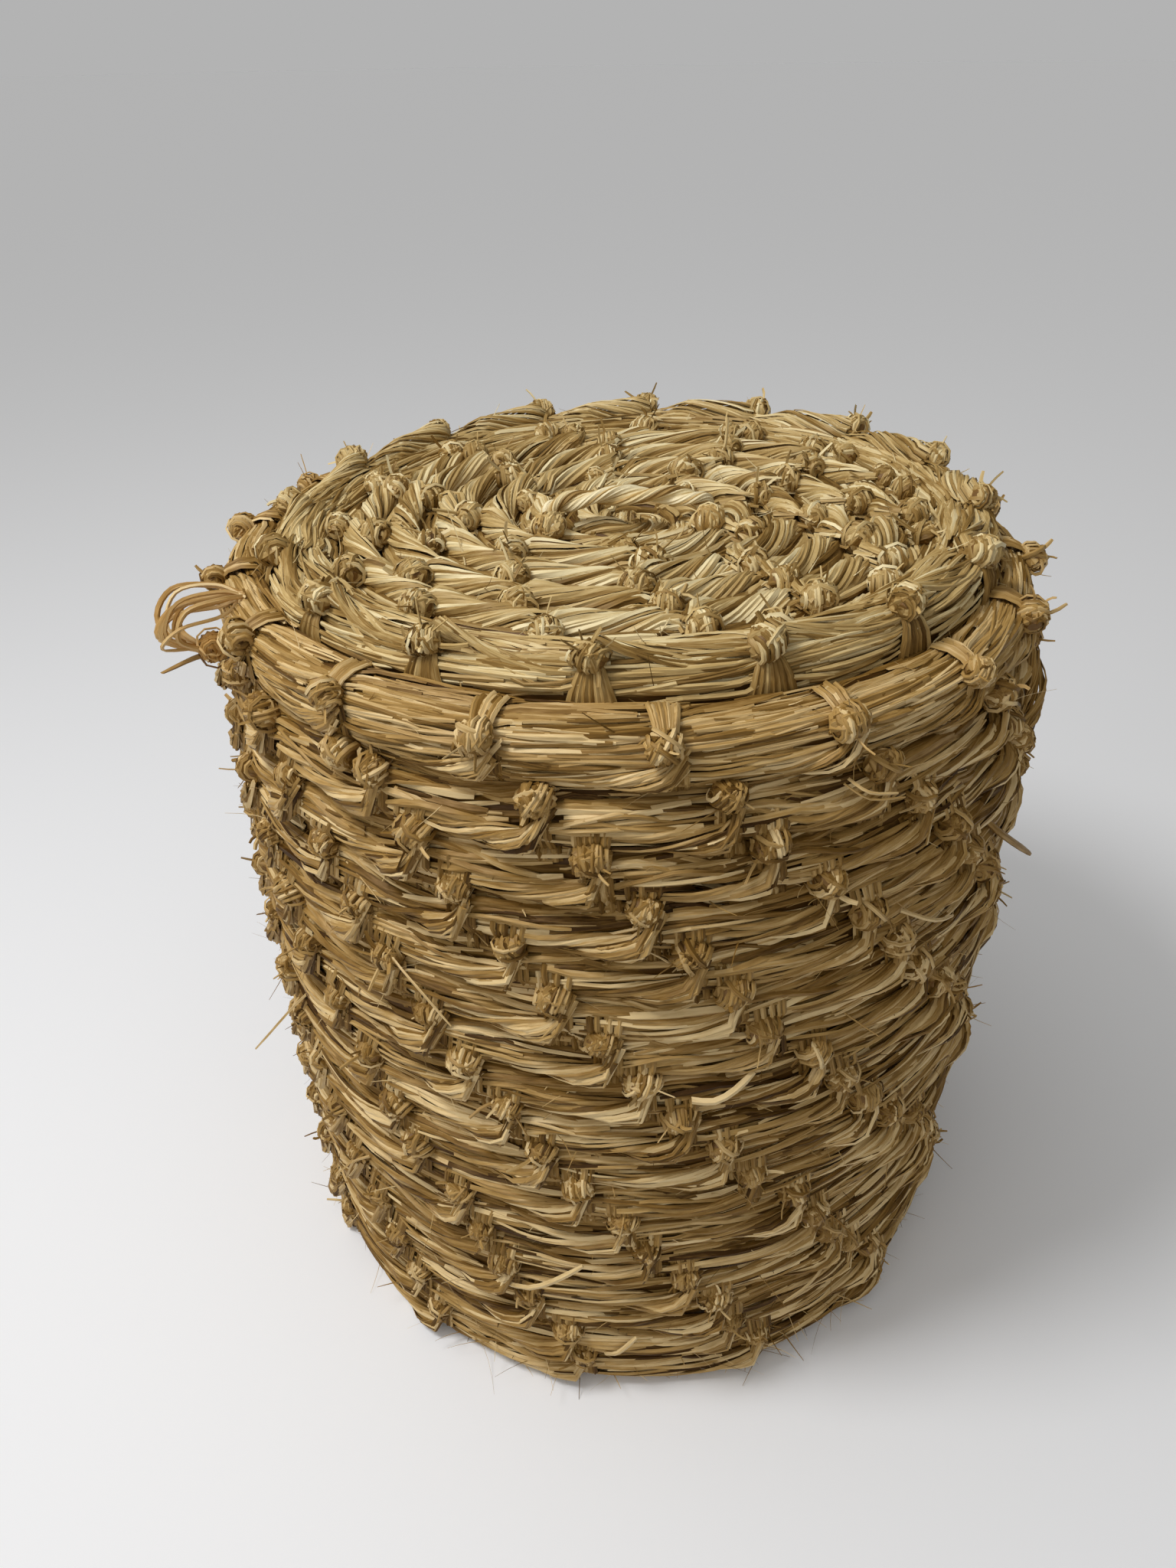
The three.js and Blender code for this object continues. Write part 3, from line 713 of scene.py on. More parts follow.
class Weaver:
    """Lays the straws of stitches and knots on a rope as guide lines."""

    # How far the seeds for stubs are from the others, so that stubs change nothing else.
    STUB_SEEDS = 1000
    # How far a knot made by hand strays along the rope, and then its ball along and across the rope.
    STRAY = 2.6 * MM
    BALL_STRAY = (1.2 * MM, 0.8 * MM)
    # How far straws ripple, how deep their ends are tucked in, and how deep those right on the rope lie.
    RIPPLE = 0.35 * MM
    TUCKED = 1.2 * MM
    SUNK = 0.9 * MM
    # The narrowest and widest half widths of each kind of straw.
    UNDERLAY_WIDTH = (1.7 * MM, 2.6 * MM)
    NECK_WIDTH = (1.4 * MM, 2.1 * MM)
    SKIRT_WIDTH = (1.5 * MM, 2.2 * MM)
    STRAP_WIDTH = (1.6 * MM, 3.1 * MM)
    STUB_WIDTH = (0.6 * MM, 1.5 * MM)
    WHISKER_WIDTH = (0.2 * MM, 0.6 * MM)
    PAD_WIDTH = 2.7 * MM
    # How far a neck, a skirt and a strap spread either way, at the knot and at their end.
    NECK_SPREAD = (3.4 * MM, 7.2 * MM)
    SKIRT_SPREAD = (5.0 * MM, 8.5 * MM)
    STRAP_SPREAD = (2.4 * MM, 11.5 * MM)
    # The shares of strands that are bleached and that are old, and the darkest shades of others and of them.
    BLEACHED = 0.07
    OLD = 0.05
    DARKEST = (0.85, 0.9)
    # The places along and the sizes of a ball's filling, as shares of its radius.
    FILLING = ((-1.0, 0.34), (-0.7, 0.72), (0.0, 0.87), (0.7, 0.72), (1.0, 0.34))

    def __init__(self, rope: Rope | None, seed: int, spread: float = 0.22, darker: float = 0.0) -> None:
        """Start on a rope.

        Args:
            rope: The rope, or None where only balls are wound.
            seed: The fixed seed for what varies.
            spread: How far the straws' shades spread.
            darker: How much darker they are than usual.
        """
        self.rope = rope
        self.random = np.random.default_rng(seed)
        self.stub_random = np.random.default_rng(seed + self.STUB_SEEDS)
        self.spread = spread
        self.darker = darker

    def evenly(self, low: float, high: float, count: int) -> Array:
        """Return a column of random numbers between limits, one for each strand."""
        return self.random.uniform(low, high, (count, 1))

    def about(self, middle: float, spread: float, count: int) -> Array:
        """Return a column of random numbers about a middle, one for each strand."""
        return self.random.normal(middle, spread, (count, 1))

    def stray(self, turn: float) -> float:
        """Return a turn that is a little off the given one, as a knot made by hand is."""
        return turn + float(np.clip(self.random.normal(0, 1), -2, 2)) * self.rope.turns_for(self.STRAY, turn)

    def shades(self, count: int, middle: float = 0.42, spread: float | None = None) -> Array:
        """Return a shade for each of so many strands: a few are bleached pale, a few are old and dark."""
        chance = self.random.random(count)
        middle = middle + self.darker
        plain = np.clip(self.random.normal(middle, spread or self.spread, count), 0, self.DARKEST[0])
        pale = max(middle - 1.8 * self.spread, 0)
        dark = min(middle + 2.2 * self.spread, self.DARKEST[1])
        return np.where(chance < self.BLEACHED, pale, np.where(chance > 1 - self.OLD, dark, plain))

    def groove_shade(self, across: Array, style: StitchStyle) -> Array:
        """Return how much darker straws are painted that lie down in the grooves: painted shade where the
        grooves lie in shade.
        """
        low, high = style.painted_shade_limits
        return style.painted_shade_strength * np.maximum(smooth(-low, -low + 26, -across), smooth(high, high + 26, across))

    def widths(self, count: int, limits: Pair) -> Array:
        """Return a column of half widths, one for each strand, mostly nearer the narrow limit."""
        low, high = limits
        return low + (high - low) * self.random.random(count)[:, None] ** 1.4

    def sheet(self, begin: float, finish: float, along: Array, across: Array,
              lift: Array, style: StitchStyle) -> tuple[Array, Array]:
        """Return places and directions of straws that lie on the rope.

        Args:
            begin: The turn of the stitch's start.
            finish: The turn of its end.
            along: Shares of the stitch, as strands by points.
            across: Each strand's place round the rope, in degrees.
            lift: Heights above the rope, as strands by points.
            style: How the stitch lies.

        Returns:
            Points and directions.
        """
        count = len(across)
        wave = self.evenly(0, 2 * math.pi, count)
        sway = self.evenly(0.5, 4.0, count) * np.sin(wave + along * 5)
        skew = self.about(0, style.skew, count) * (along - 0.5)
        spread = 0.72 + 0.28 * smooth(-0.06, 0.18, along)
        place = across[:, None] * spread + style.slope * (along - 0.5) + sway + skew
        ripple = self.RIPPLE * np.sin(wave * 3 + along * 8)
        return self.rope.surface(mix(begin, finish, along), place, lift + ripple)

    def stitch(self, guides: Guides, begin: float, finish: float, style: StitchStyle) -> None:
        """Lay the straws between two knots: a fan that gathers, and straws that pass on.

        Args:
            guides: What the lines are added to.
            begin: The turn of the first knot.
            finish: The turn of the next knot.
            style: How the stitch lies.
        """
        for lay in (self._underlay, self._pass_on, self._gather):
            lay(guides, begin, finish, style)

    def _underlay(self, guides: Guides, begin: float, finish: float, style: StitchStyle) -> None:
        """Lay wide straws close to the rope, so that nothing shows through the others."""
        count = style.underlay
        across = np.linspace(*style.cover, count) + self.random.normal(0, 3, count)
        along = np.linspace(-0.04, 1.04, 5) + self.about(0, 0.04, count)
        lift = self.evenly(-self.SUNK, 0.0, count)
        points, outward = self.sheet(begin, finish, along, across, lift, style)
        # The underlay is painted darker than the straws over it: painted shade in the gaps between them.
        shade = self.shades(count, 0.66, 0.14) + self.groove_shade(across, style)
        guides.add(points, outward, self.evenly(*self.UNDERLAY_WIDTH, count), shade)

    def _gather(self, guides: Guides, begin: float, finish: float, style: StitchStyle) -> None:
        """Draw a fan of straws together into a twisted tail that hooks up to the knot."""
        count = style.gathered
        neat = self.random.uniform(0.35, 1.1)
        shift = self.random.normal(0, 0.04)
        steps = np.linspace(0, 1, 12)
        across = np.linspace(*style.fan, count) + self.random.normal(0, 4, count)
        depth = self.random.random((count, 1))
        first = self.evenly(-0.06, 0.16, count)
        past = style.hook * (0.4 + 0.6 * neat) * self.rope.turns_for(1.0, finish) / (finish - begin)
        last = 1 + past * self.evenly(0.55, 1.15, count)
        along = mix(first, last, steps ** 0.82)
        lift = style.loft * depth - self.TUCKED * (1 - smooth(0, 0.14, steps))
        sheet, facing = self.sheet(begin, finish, along, across, lift, style)
        bend, reach = np.array(style.gather) + np.array([1.0, 0.6]) * shift
        bends = self.evenly(bend - style.ragged, bend + style.ragged, count)
        gathered = np.clip((along - bends) / (reach - bends), 0, 1)
        at_bend, before, at_knot = style.line
        line = mix(at_bend, before, np.clip((along - bend) / (0.9 - bend), 0, 1))
        line = mix(line, at_knot, smooth(1 - 0.2 * past, 1 + 1.2 * past, along))
        radius = mix(style.bundle, style.tail, gathered)
        proud = mix(style.proud[0], style.proud[1] * neat, smooth(0.6, 0.95, along)) * gathered
        proud = proud * (1 - 0.6 * smooth(1, 1 + 1.2 * past, along))
        turns = mix(begin, finish, along)
        middle, out_way = self.rope.surface(turns, line, proud)
        across_way = self.rope.across_direction(turns, line)
        low, high = style.fan
        face = np.where(np.arange(count) % 2, 1, -1)
        start = math.pi * (1 - face * (across - low) / (high - low))
        twisted = np.clip((along - bend) / (1 - bend), 0, 1.1)
        spin = start[:, None] + math.radians(style.twist) * (0.3 + 0.7 * neat) * twisted
        spoke = turned_towards(across_way, out_way, spin)
        bundle = middle + spoke * (radius * (1 - 0.28 * depth))[..., None]
        points = mix(sheet, bundle, gathered[..., None])
        outward = mix(facing, spoke, gathered[..., None])
        width = self.widths(count, style.half_width)
        shape = mix(1.0, 0.84, gathered) * (0.6 + 0.4 * smooth(0, 0.12, steps))
        # Strands that lie deepest in the tail's bundle are painted a little darker: painted shade.
        guides.add(points, outward, width * shape, self.shades(count) + 0.12 * (depth[:, 0] > 0.7))

    def _pass_on(self, guides: Guides, begin: float, finish: float, style: StitchStyle) -> None:
        """Lay straws that run on behind the next knot, most of them over the bundle."""
        count = style.passing
        across = mix(*style.cover, self.random.random(count) ** 0.7)
        steps = np.linspace(0, 1, 7)
        first = self.evenly(-0.12, 0.5, count)
        along = first + self.evenly(0.5, 0.8, count) * steps
        lift = self.evenly(0.1, 0.75, count) * style.loft
        points, outward = self.sheet(begin, finish, along, across, lift, style)
        ends = smooth(0, 0.1, steps) * smooth(0, 0.12, 1 - steps)
        tucked = self.evenly(-0.3, 1.0, count) * 1.4 * MM * (1 - ends)
        width = self.widths(count, style.half_width) * (0.6 + 0.4 * ends)
        shade = self.shades(count, 0.44) + self.groove_shade(across, style)
        guides.add(points - outward * tucked[..., None], outward, width, shade)

    def lining(self, guides: Guides, begin: float, finish: float, count: int, limits: Pair,
               style: StitchStyle) -> None:
        """Lay straws on a side of the rope that has no knots.

        Args:
            guides: What the lines are added to.
            begin: The turn where they start.
            finish: The turn where they end.
            count: How many there are.
            limits: The side, in degrees round the rope.
            style: The straws' widths.
        """
        across = self.random.uniform(*limits, count)[:, None]
        steps = np.linspace(0, 1, 7)
        first = self.evenly(-0.2, 0.2, count)
        along = mix(first, self.evenly(0.9, 1.3, count), steps)
        lean = self.about(0, 9, count) * (along - 0.5)
        ends = smooth(0, 0.12, steps) * smooth(0, 0.12, 1 - steps)
        height = self.evenly(0, 1.6 * MM, count) - 1.0 * MM * (1 - ends)
        points, outward = self.rope.surface(mix(begin, finish, along), across + lean, height)
        width = self.widths(count, style.half_width) * (0.55 + 0.45 * ends)
        guides.add(points, outward, width, self.shades(count, 0.5))

    def knot_frame(self, turn: float, knot: KnotStyle) -> tuple[Array, Array]:
        """Return a knot's middle, and the directions along the rope, across it and outward."""
        rope = self.rope
        radius, height, half_depth, half_height = (float(v) for v in rope.section(np.array(turn)))
        angle = float(rope.angle(np.array(turn)))
        out_way = rope.outward(np.array(angle), np.array(rope.lean))
        across_way = rope.outward(np.array(angle), np.array(rope.lean + 90 * rope.side))
        reach = half_height if abs(across_way[2]) > 0.7 else half_depth
        center = around(angle, radius, height) + across_way * reach * knot.across + out_way * knot.out
        ahead = around(angle + rope.way, 1.0, 0.0) - around(angle, 1.0, 0.0)
        along_way = np.cross(across_way, out_way)
        along_way = along_way * np.sign(np.dot(along_way, ahead))
        return center, np.stack([along_way, across_way, out_way])

    def knot(self, guides: Guides, cores: Guides, turn: float, knot: KnotStyle) -> None:
        """Lay a ball knot with its neck, skirt and strap.

        Args:
            guides: What the straws' lines are added to.
            cores: What the ball's filling is added to.
            turn: Where the knot sits.
            knot: Its style.
        """
        center, ways = self.knot_frame(turn, knot)
        for way, spread in zip(ways, self.BALL_STRAY):
            center = center + way * self.random.normal(0, spread)
        radius = knot.radius * self.random.uniform(0.88, 1.1)
        self._skirt(guides, turn, knot)
        self._neck(guides, turn, knot)
        self.ball(guides, cores, center, ways, radius, knot.bands)
        self._stubs(guides, center, ways[2], radius, knot)
        if knot.strap:
            self._strap(guides, turn, knot)

    def ball(self, guides: Guides, cores: Guides, center: Array, ways: Array, radius: float,
             bands: int) -> None:
        """Wind straws round a ball, most of them side by side across the rope.

        Args:
            guides: What the straws' lines are added to.
            cores: What the ball's filling is added to.
            center: The ball's middle.
            ways: Directions along the rope, across it and outward.
            radius: The ball's radius.
            bands: How many straws wind round it.
        """
        along_way, across_way, out_way = ways
        tilt = self.random.normal(0, 0.4)
        axis = unit(along_way * math.cos(tilt) + across_way * math.sin(tilt))
        places, sizes = np.array(self.FILLING).T * radius
        cores.strand(center + axis * places[:, None], out_way, sizes, 0.05)
        self._pad(guides, center, axis, radius * 0.92)
        crossing = int(self.random.integers(0, 3))
        for count, turned, height in ((bands - crossing, 0.0, 0.0), (crossing, 1.2, 0.8 * MM)):
            if not count:
                continue
            axis = unit(along_way * math.cos(tilt + turned) + across_way * math.sin(tilt + turned))
            limit = 0.84 if count > 2 else 0.42
            offsets = np.linspace(-limit, limit, count) if count > 1 else self.random.uniform(-0.5, 0.5, 1)
            offsets = (offsets + self.random.normal(0, 0.05, count))[:, None] * radius
            ring = np.sqrt(np.maximum(radius ** 2 - offsets ** 2, (0.5 * radius) ** 2))
            angle = np.radians(np.linspace(-165, 165, 9)) + self.about(0, 0.12, count)
            lift = self.evenly(-0.2 * MM, 0.7 * MM, count) + height
            spoke = turned_towards(out_way, unit(np.cross(out_way, axis)), angle)
            drift = offsets + radius * self.about(0.14, 0.13, count) * np.sin(angle)
            points = center + axis * drift[..., None] * 1.12 + spoke * (ring + lift)[..., None]
            width = self.evenly(1.45, 2.15, count) * limit * radius / max(count, 4)
            guides.add(points, points - center, width, self.shades(count, 0.44, 0.2))

    def _stubs(self, guides: Guides, center: Array, out_way: Array, radius: float, knot: KnotStyle) -> None:
        """Leave a few short cut straw ends sticking out of a ball."""
        random = self.stub_random
        count = int(random.integers(knot.stubs[0], knot.stubs[1] + 1))
        way = unit(random.normal(0, 1, (count, 3)) + 0.55 * out_way)[:, None]
        bend = random.normal(0, 0.4, (count, 1, 3))
        length = random.uniform(2.5 * MM, 9 * MM, (count, 1, 1))
        steps = np.linspace(0, 1, 4)[:, None]
        points = center + way * (0.8 * radius + (0.3 * radius + length) * steps) + bend * length * steps ** 2
        width = random.uniform(*self.STUB_WIDTH, (count, 1)) * np.array([1.0, 1.0, 0.95, 0.75])
        shade = np.clip(random.normal(0.42 + self.darker, self.spread, count), 0, self.DARKEST[0])
        guides.add(points, np.cross(way, bend), width, shade)

    def _pad(self, guides: Guides, center: Array, long_way: Array, radius: float) -> None:
        """Wind wide straws every way round a ball, under those that show."""
        # The pad is painted darker than the bands: painted shade in the lines between them.
        for axis in unit(self.random.normal(0, 1, (7, 3))):
            side = unit(np.cross(axis, self.random.normal(0, 1, 3)))
            spoke = turned_towards(side, np.cross(axis, side), np.radians(np.linspace(0, 340, 8)))
            reach = radius * (1 + 0.2 * np.abs(spoke @ long_way))
            guides.strand(center + spoke * reach[:, None], spoke, self.PAD_WIDTH, self.shades(1, 0.56, 0.1))

    def _neck(self, guides: Guides, turn: float, knot: KnotStyle) -> None:
        """Lay the straws that come down to the knot over the next turn, in a close fan."""
        collar = np.array(knot.collar)
        count = knot.neck
        if not count or (collar[:, 0].any() and turn + 1 > self.rope.turns - 0.1):
            return
        steps = np.linspace(0, 1, len(collar))
        spread = np.linspace(-1, 1, count)[:, None] + self.about(0, 0.08, count)
        apart = spread * mix(*self.NECK_SPREAD, steps) * self.rope.turns_for(1.0, turn)
        across = collar[:, 1] + self.about(0, 6, count) * steps
        lift = mix(5.0 * MM, 4.2 * MM, steps) - 4.8 * MM * smooth(0.7, 1, steps)
        lift = lift + self.evenly(-0.3 * MM, 0.4 * MM, count)
        points, outward = self.rope.surface(turn + collar[:, 0] + apart, across, lift)
        width = self.evenly(*self.NECK_WIDTH, count) * mix(0.8, 1.0, steps)
        guides.add(points, outward, width, self.shades(count, 0.52, 0.16))

    def _skirt(self, guides: Guides, turn: float, knot: KnotStyle) -> None:
        """Lay the straws that hang from the knot, down over the rope and the turn before it."""
        hem = np.array(knot.hem)
        count = knot.skirt
        if not count:
            return
        if turn + hem[:, 0].min() < 1.2 and hem[:, 0].min() < 0:
            hem = hem[hem[:, 0] == 0]
        steps = np.linspace(0, 1, len(hem))
        spread = np.linspace(-0.7, 1.2, count)[:, None] + self.about(0, 0.09, count)
        apart = spread * mix(*self.SKIRT_SPREAD, steps) * self.rope.turns_for(1.0, turn)
        across = hem[:, 1] + self.about(0, 5, count) * steps
        lift = self.evenly(3.0 * MM, 3.9 * MM, count) - 4.4 * MM * smooth(0.75, 1, steps)
        points, outward = self.rope.surface(turn + hem[:, 0] + apart, across, lift)
        width = self.evenly(*self.SKIRT_WIDTH, count) * mix(0.8, 1.0, steps)
        # The skirt is painted darker than the neck: painted shade below the knot.
        guides.add(points, outward, width, self.shades(count, 0.68, 0.14))

    def _strap(self, guides: Guides, turn: float, knot: KnotStyle) -> None:
        """Lay wide straws from the knot round the rope's outside, spreading as they go."""
        count = knot.strap
        places = np.linspace(26, -118, 9)
        steps = smooth(0, 1, np.linspace(0, 1, 9))
        spread = np.linspace(-1, 1, count)[:, None] * mix(*self.STRAP_SPREAD, steps)
        turns = turn + self.rope.turns_for(1.0, turn) * spread
        height = 2.9 * MM + self.evenly(0, 0.5 * MM, count) - 1.5 * MM * (places < -100)
        points, outward = self.rope.surface(turns, places, height)
        guides.add(points, outward, mix(*self.STRAP_WIDTH, steps), self.shades(count, 0.7, 0.08))

    def loose_ends(self, guides: Guides, count: int, limits: Pair, across: Pair) -> None:
        """Let thin split straws stand a little off the rope.

        Args:
            guides: What the lines are added to.
            count: How many there are.
            limits: The turns that they lie between.
            across: Where round the rope they start, in degrees.
        """
        turns = self.random.uniform(*limits, count)
        start_across = self.random.uniform(*across, count)
        start, facing = self.rope.surface(turns, start_across, 1.0 * MM)
        side = self.rope.across_direction(turns, start_across)
        heading = self.evenly(0, 2 * math.pi, count)
        way = np.cross(facing, side) * np.cos(heading) * 1.4 + side * np.sin(heading)
        length = (5 * MM + 19 * MM * self.random.random(count) ** 2)[:, None, None]
        steps = np.linspace(0, 1, 5)[:, None]
        rise = self.random.uniform(0.1, 1.0, count)[:, None, None]
        facing = facing[:, None]
        points = start[:, None] + (way[:, None] * steps + facing * rise * steps ** 1.6) * length
        width = np.array([1.0, 1.0, 0.8, 0.6, 0.35]) * self.evenly(*self.WHISKER_WIDTH, count)
        guides.add(points, facing, width, self.shades(count, 0.35, 0.3))


# Sub-assemblies

# How many turns a batch of lining straws takes, and on a flat rope, where the first of them starts.
BATCH = 0.07
FLAT_BATCH = 0.12
FLAT_START = 0.3


@dataclass
class Finishes:
    """The materials, one for each kind of straw on the basket."""

    wall: Material
    lid: Material
    inside: Material
    ties: Material
    handle: Material
    core: Material

    @classmethod
    def mixed(cls) -> "Finishes":
        """Make the finishes of this basket."""
        return cls(
            # The wall's palette is a little darker than the lid's: partly the straw's own tone, partly
            # painted shade on the basket's sides.
            wall=StrawFinish("rye_straw_wall", "e0c48e", "b39054", "84622b", "422a0b").material(),
            lid=StrawFinish("rye_straw_lid", "ecdcae", "c5a970", "91713b", "452d0b").material(),
            inside=StrawFinish("rye_straw_inside", "d9c08b", "b3925a", "8c6b3a", "5a3f1d").material(),
            ties=StrawFinish("rye_straw_ties", "e6cb96", "c59c5c", "9a6f33", "5a3810").material(),
            handle=StrawFinish("rye_straw_handle", "f0e2ba", "dcc48d", "b8965a", "6b4d24").material(),
            # The core's dark browns are partly the packed straw's own colour and partly painted shade for the
            # gaps where it shows between straws.
            core=StrawFinish("packed_straw_core_and_gap_shade", "7d5a28", "64441a", "4a2f0e", "2e1a05",
                             ribs_per_half_width=11.0).material(),
        )


def core_of(rope: Rope, turns: Array, fullness: float) -> Guides:
    """Return the guide line of a rope's inside.

    Args:
        rope: The rope.
        turns: Where the line has its points.
        fullness: The core's size as a share of the rope's.

    Returns:
        One guide line.
    """
    radius, height, half_depth, half_height = rope.section(turns)
    angle = rope.angle(turns)
    flat = rope.lean == 90
    outward = UP if flat else around(angle, 1.0, 0.0)
    half = half_depth if flat else half_height
    guides = Guides()
    guides.strand(around(angle, radius, height), outward, half * fullness, 0.5)
    return guides


@dataclass
class TiedCoil:
    """What the wall and the lid's top share: a rope tied row to row. Each lays out its own rope.

    Attributes:
        end_angle: Where the rope ends, in degrees from the front.
        rows: How many rows of knots there are.
        first_knot: The angle that the rows' knots are counted from.
        knot_lean: How much further round each row's knots sit than those of the row before.
        bare: How many turns before the rope's end its knots stop.
        run_out: How many turns before the rope's end its straws do.
        usual: The usual length of a stitch. Where knots are further apart, more are laid between.
        whiskers: How many loose ends there are for each knot.
        low_whiskers: The same in the rows that start under `low_turn`.
        seam: How far either way from the front a row's knots go.
        stitch: How the straws between two knots lie.
        knot: How the knots look.
    """

    end_angle: float
    rows: int
    first_knot: float
    knot_lean: float
    bare: float
    run_out: float
    usual: float
    whiskers: int
    low_whiskers: int = 0
    low_turn: float = 0.0
    seam: float = 172.0
    stitch: StitchStyle = StitchStyle()
    knot: KnotStyle = KnotStyle()

    def stitch_size(self, number: int, at_front: float) -> Pair:
        """Return a row's stitch length, and the radius that it is measured at.

        Args:
            number: The row's number, from 1.
            at_front: The turn that lies at the front in this row.

        Returns:
            The length and the radius.
        """
        raise NotImplementedError

    def row_knots(self) -> list[list[float]]:
        """Return the turns of each row's knots, from the rope's end back, which stop at the seam."""
        rows = []
        way = self.rope.way
        for number in range(1, self.rows + 1):
            at_front = self.turns - number - way * self.end_angle / 360
            length, radius = self.stitch_size(number, at_front)
            step = math.degrees(length / radius)
            anchor = self.first_knot + way * self.knot_lean * number
            first = math.ceil((-self.seam - anchor) / step)
            last = math.floor((self.seam - anchor) / step)
            turns = [at_front + way * (anchor + k * step) / 360 for k in range(first, last + 1)]
            rows.append([turn for turn in turns if turn < self.turns - self.bare])
        return rows

    def start(self, guides: Guides, first: float, second: float) -> None:
        """Lay what lies before the first knot: here nothing.

        Args:
            guides: The first row's guide lines.
            first: The first knot's turn.
            second: The next knot's turn.
        """

    def tie(self, cores: Guides) -> tuple[list[Guides], float]:
        """Lay the rope's knots and stitches in one run, and then the rows' loose ends.

        Args:
            cores: What the balls' fillings are added to.

        Returns:
            Each row's guide lines, and the first knot's turn.
        """
        rows = self.row_knots()
        knots = sorted((self.weaver.stray(turn), row) for row, turns in enumerate(rows) for turn in turns)
        straws = [Guides() for _ in rows]
        self.start(straws[-1], knots[0][0], knots[1][0])
        for (turn, row), (following, _) in zip(knots, [*knots[1:], (self.turns - self.run_out, 0)]):
            parts = max(1, round((following - turn) / self.rope.turns_for(self.usual, turn) - 0.2))
            places = np.linspace(turn, following, parts + 1)
            for begin, finish in zip(places, places[1:]):
                self.weaver.stitch(straws[row], begin, finish, self.stitch)
                self.weaver.knot(straws[row], cores, begin, self.knot)
        for guides, turns in zip(straws, rows):
            whiskers = self.low_whiskers if min(turns) < self.low_turn else self.whiskers
            self.weaver.loose_ends(guides, whiskers * len(turns), (min(turns), max(turns)), (-80, 80))
        return straws, knots[0][0]


@dataclass
class Wall(TiedCoil):
    """The body's wall: the rope from the floor to the rim, its rows of ties and its inside."""

    end_angle: float = 35.0
    rows: int = 16
    first_knot: float = 2.0
    knot_lean: float = 6.2
    bare: float = 0.875
    run_out: float = 0.13
    usual: float = 90.0 * MM
    whiskers: int = 7
    low_whiskers: int = 35
    low_turn: float = 1.6
    height: float = 439.6 * MM
    pitch: float = 27.0 * MM
    base_radius: float = 213.0 * MM
    middle_radius: float = 222.0 * MM
    top_radius: float = 221.0 * MM
    depth: float = 30.0 * MM
    stitch_at_rim: float = 78.0 * MM
    stitch_at_base: float = 102.0 * MM
    lengths: int = 4
    seed: int = 11

    def __post_init__(self) -> None:
        """Lay out the rope and its weaver."""
        self.turns = self.height / self.pitch + 1
        self.rope = WallRope(self.end_angle, self.turns, 1, 0.0, 1, self.pitch, self.height,
                             self.base_radius, self.middle_radius, self.top_radius, self.depth)
        self.weaver = Weaver(self.rope, self.seed, 0.25)

    def stitch_size(self, number: int, at_front: float) -> Pair:
        """Return a row's stitch length, which grows towards the floor, and the wall's radius there."""
        length = mix(self.stitch_at_rim, self.stitch_at_base, number / self.rows)
        return length, float(self.rope.outside(np.array(at_front * self.pitch)))

    def start(self, guides: Guides, first: float, second: float) -> None:
        """Lay plain straws from the floor to the first knot."""
        step = second - first
        plain = np.arange(0.15, first - step / 3, step)
        for begin, finish in zip(plain, [*plain[1:], first]):
            self.weaver.lining(guides, begin, finish, 30, (-96, 92), self.stitch)

    def build(self, finishes: Finishes) -> None:
        """Make the wall's pieces with their finishes."""
        cores = core_of(self.rope, np.linspace(0.12, self.turns - 0.12, round(self.turns * 72)), 0.99)
        straws, _ = self.tie(cores)
        coils = tuple(f"wall_coil_{number + 1}" for number in range(self.lengths))
        make("wall_rope", cores, finishes.core, BASKET, coils, Section.ROPE, 1.08)
        for number, guides in enumerate(straws, 1):
            make(f"wall_row_{number:02d}_straw", guides, finishes.wall, BASKET,
                 (f"wall_ties_row_{number:02d}",))
        inside = Guides()
        for begin in np.arange(1.0, self.turns - 0.2, BATCH):
            self.weaver.lining(inside, begin, begin + BATCH, 14, (92, 268), self.stitch)
        make("wall_inside_straw", inside, finishes.inside, BASKET)


@dataclass
class Base:
    """The floor of the basket: a flat rope wound out from a start knot."""

    inner: float = 12.3 * MM
    outer: float = 183.5 * MM
    pitch: float = 26.0 * MM
    thickness: float = 22.0 * MM
    knot_radius: float = 10.5 * MM
    seed: int = 23
    stitch: StitchStyle = StitchStyle()

    def build(self, finishes: Finishes, wall: Wall) -> None:
        """Make the base's pieces, whose rope goes on in the wall's."""
        turns = (self.outer - self.inner) / self.pitch + 1
        rope = FlatRope(wall.end_angle - 360 * wall.turns, turns, 1, 90.0, -1, self.pitch,
                        self.outer - self.inner, self.inner, self.thickness / 2, self.thickness)
        cores = core_of(rope, np.linspace(0.12, turns - 0.02, round(turns * 48)), 1.0)
        weaver = Weaver(rope, self.seed)
        guides = Guides()
        for begin in np.arange(FLAT_START, turns, FLAT_BATCH):
            for count, side in ((14, (-92, 92)), (10, (100, 260))):
                weaver.lining(guides, begin, begin + FLAT_BATCH, count, side, self.stitch)
        weaver.ball(guides, cores, UP * self.thickness / 2, np.eye(3), self.knot_radius, 12)
        make("base_rope", cores, finishes.core, BASKET, ("base_coil",), Section.ROPE, 0.8)
        make("base_straw", guides, finishes.inside, BASKET, ("base_start_knot",))


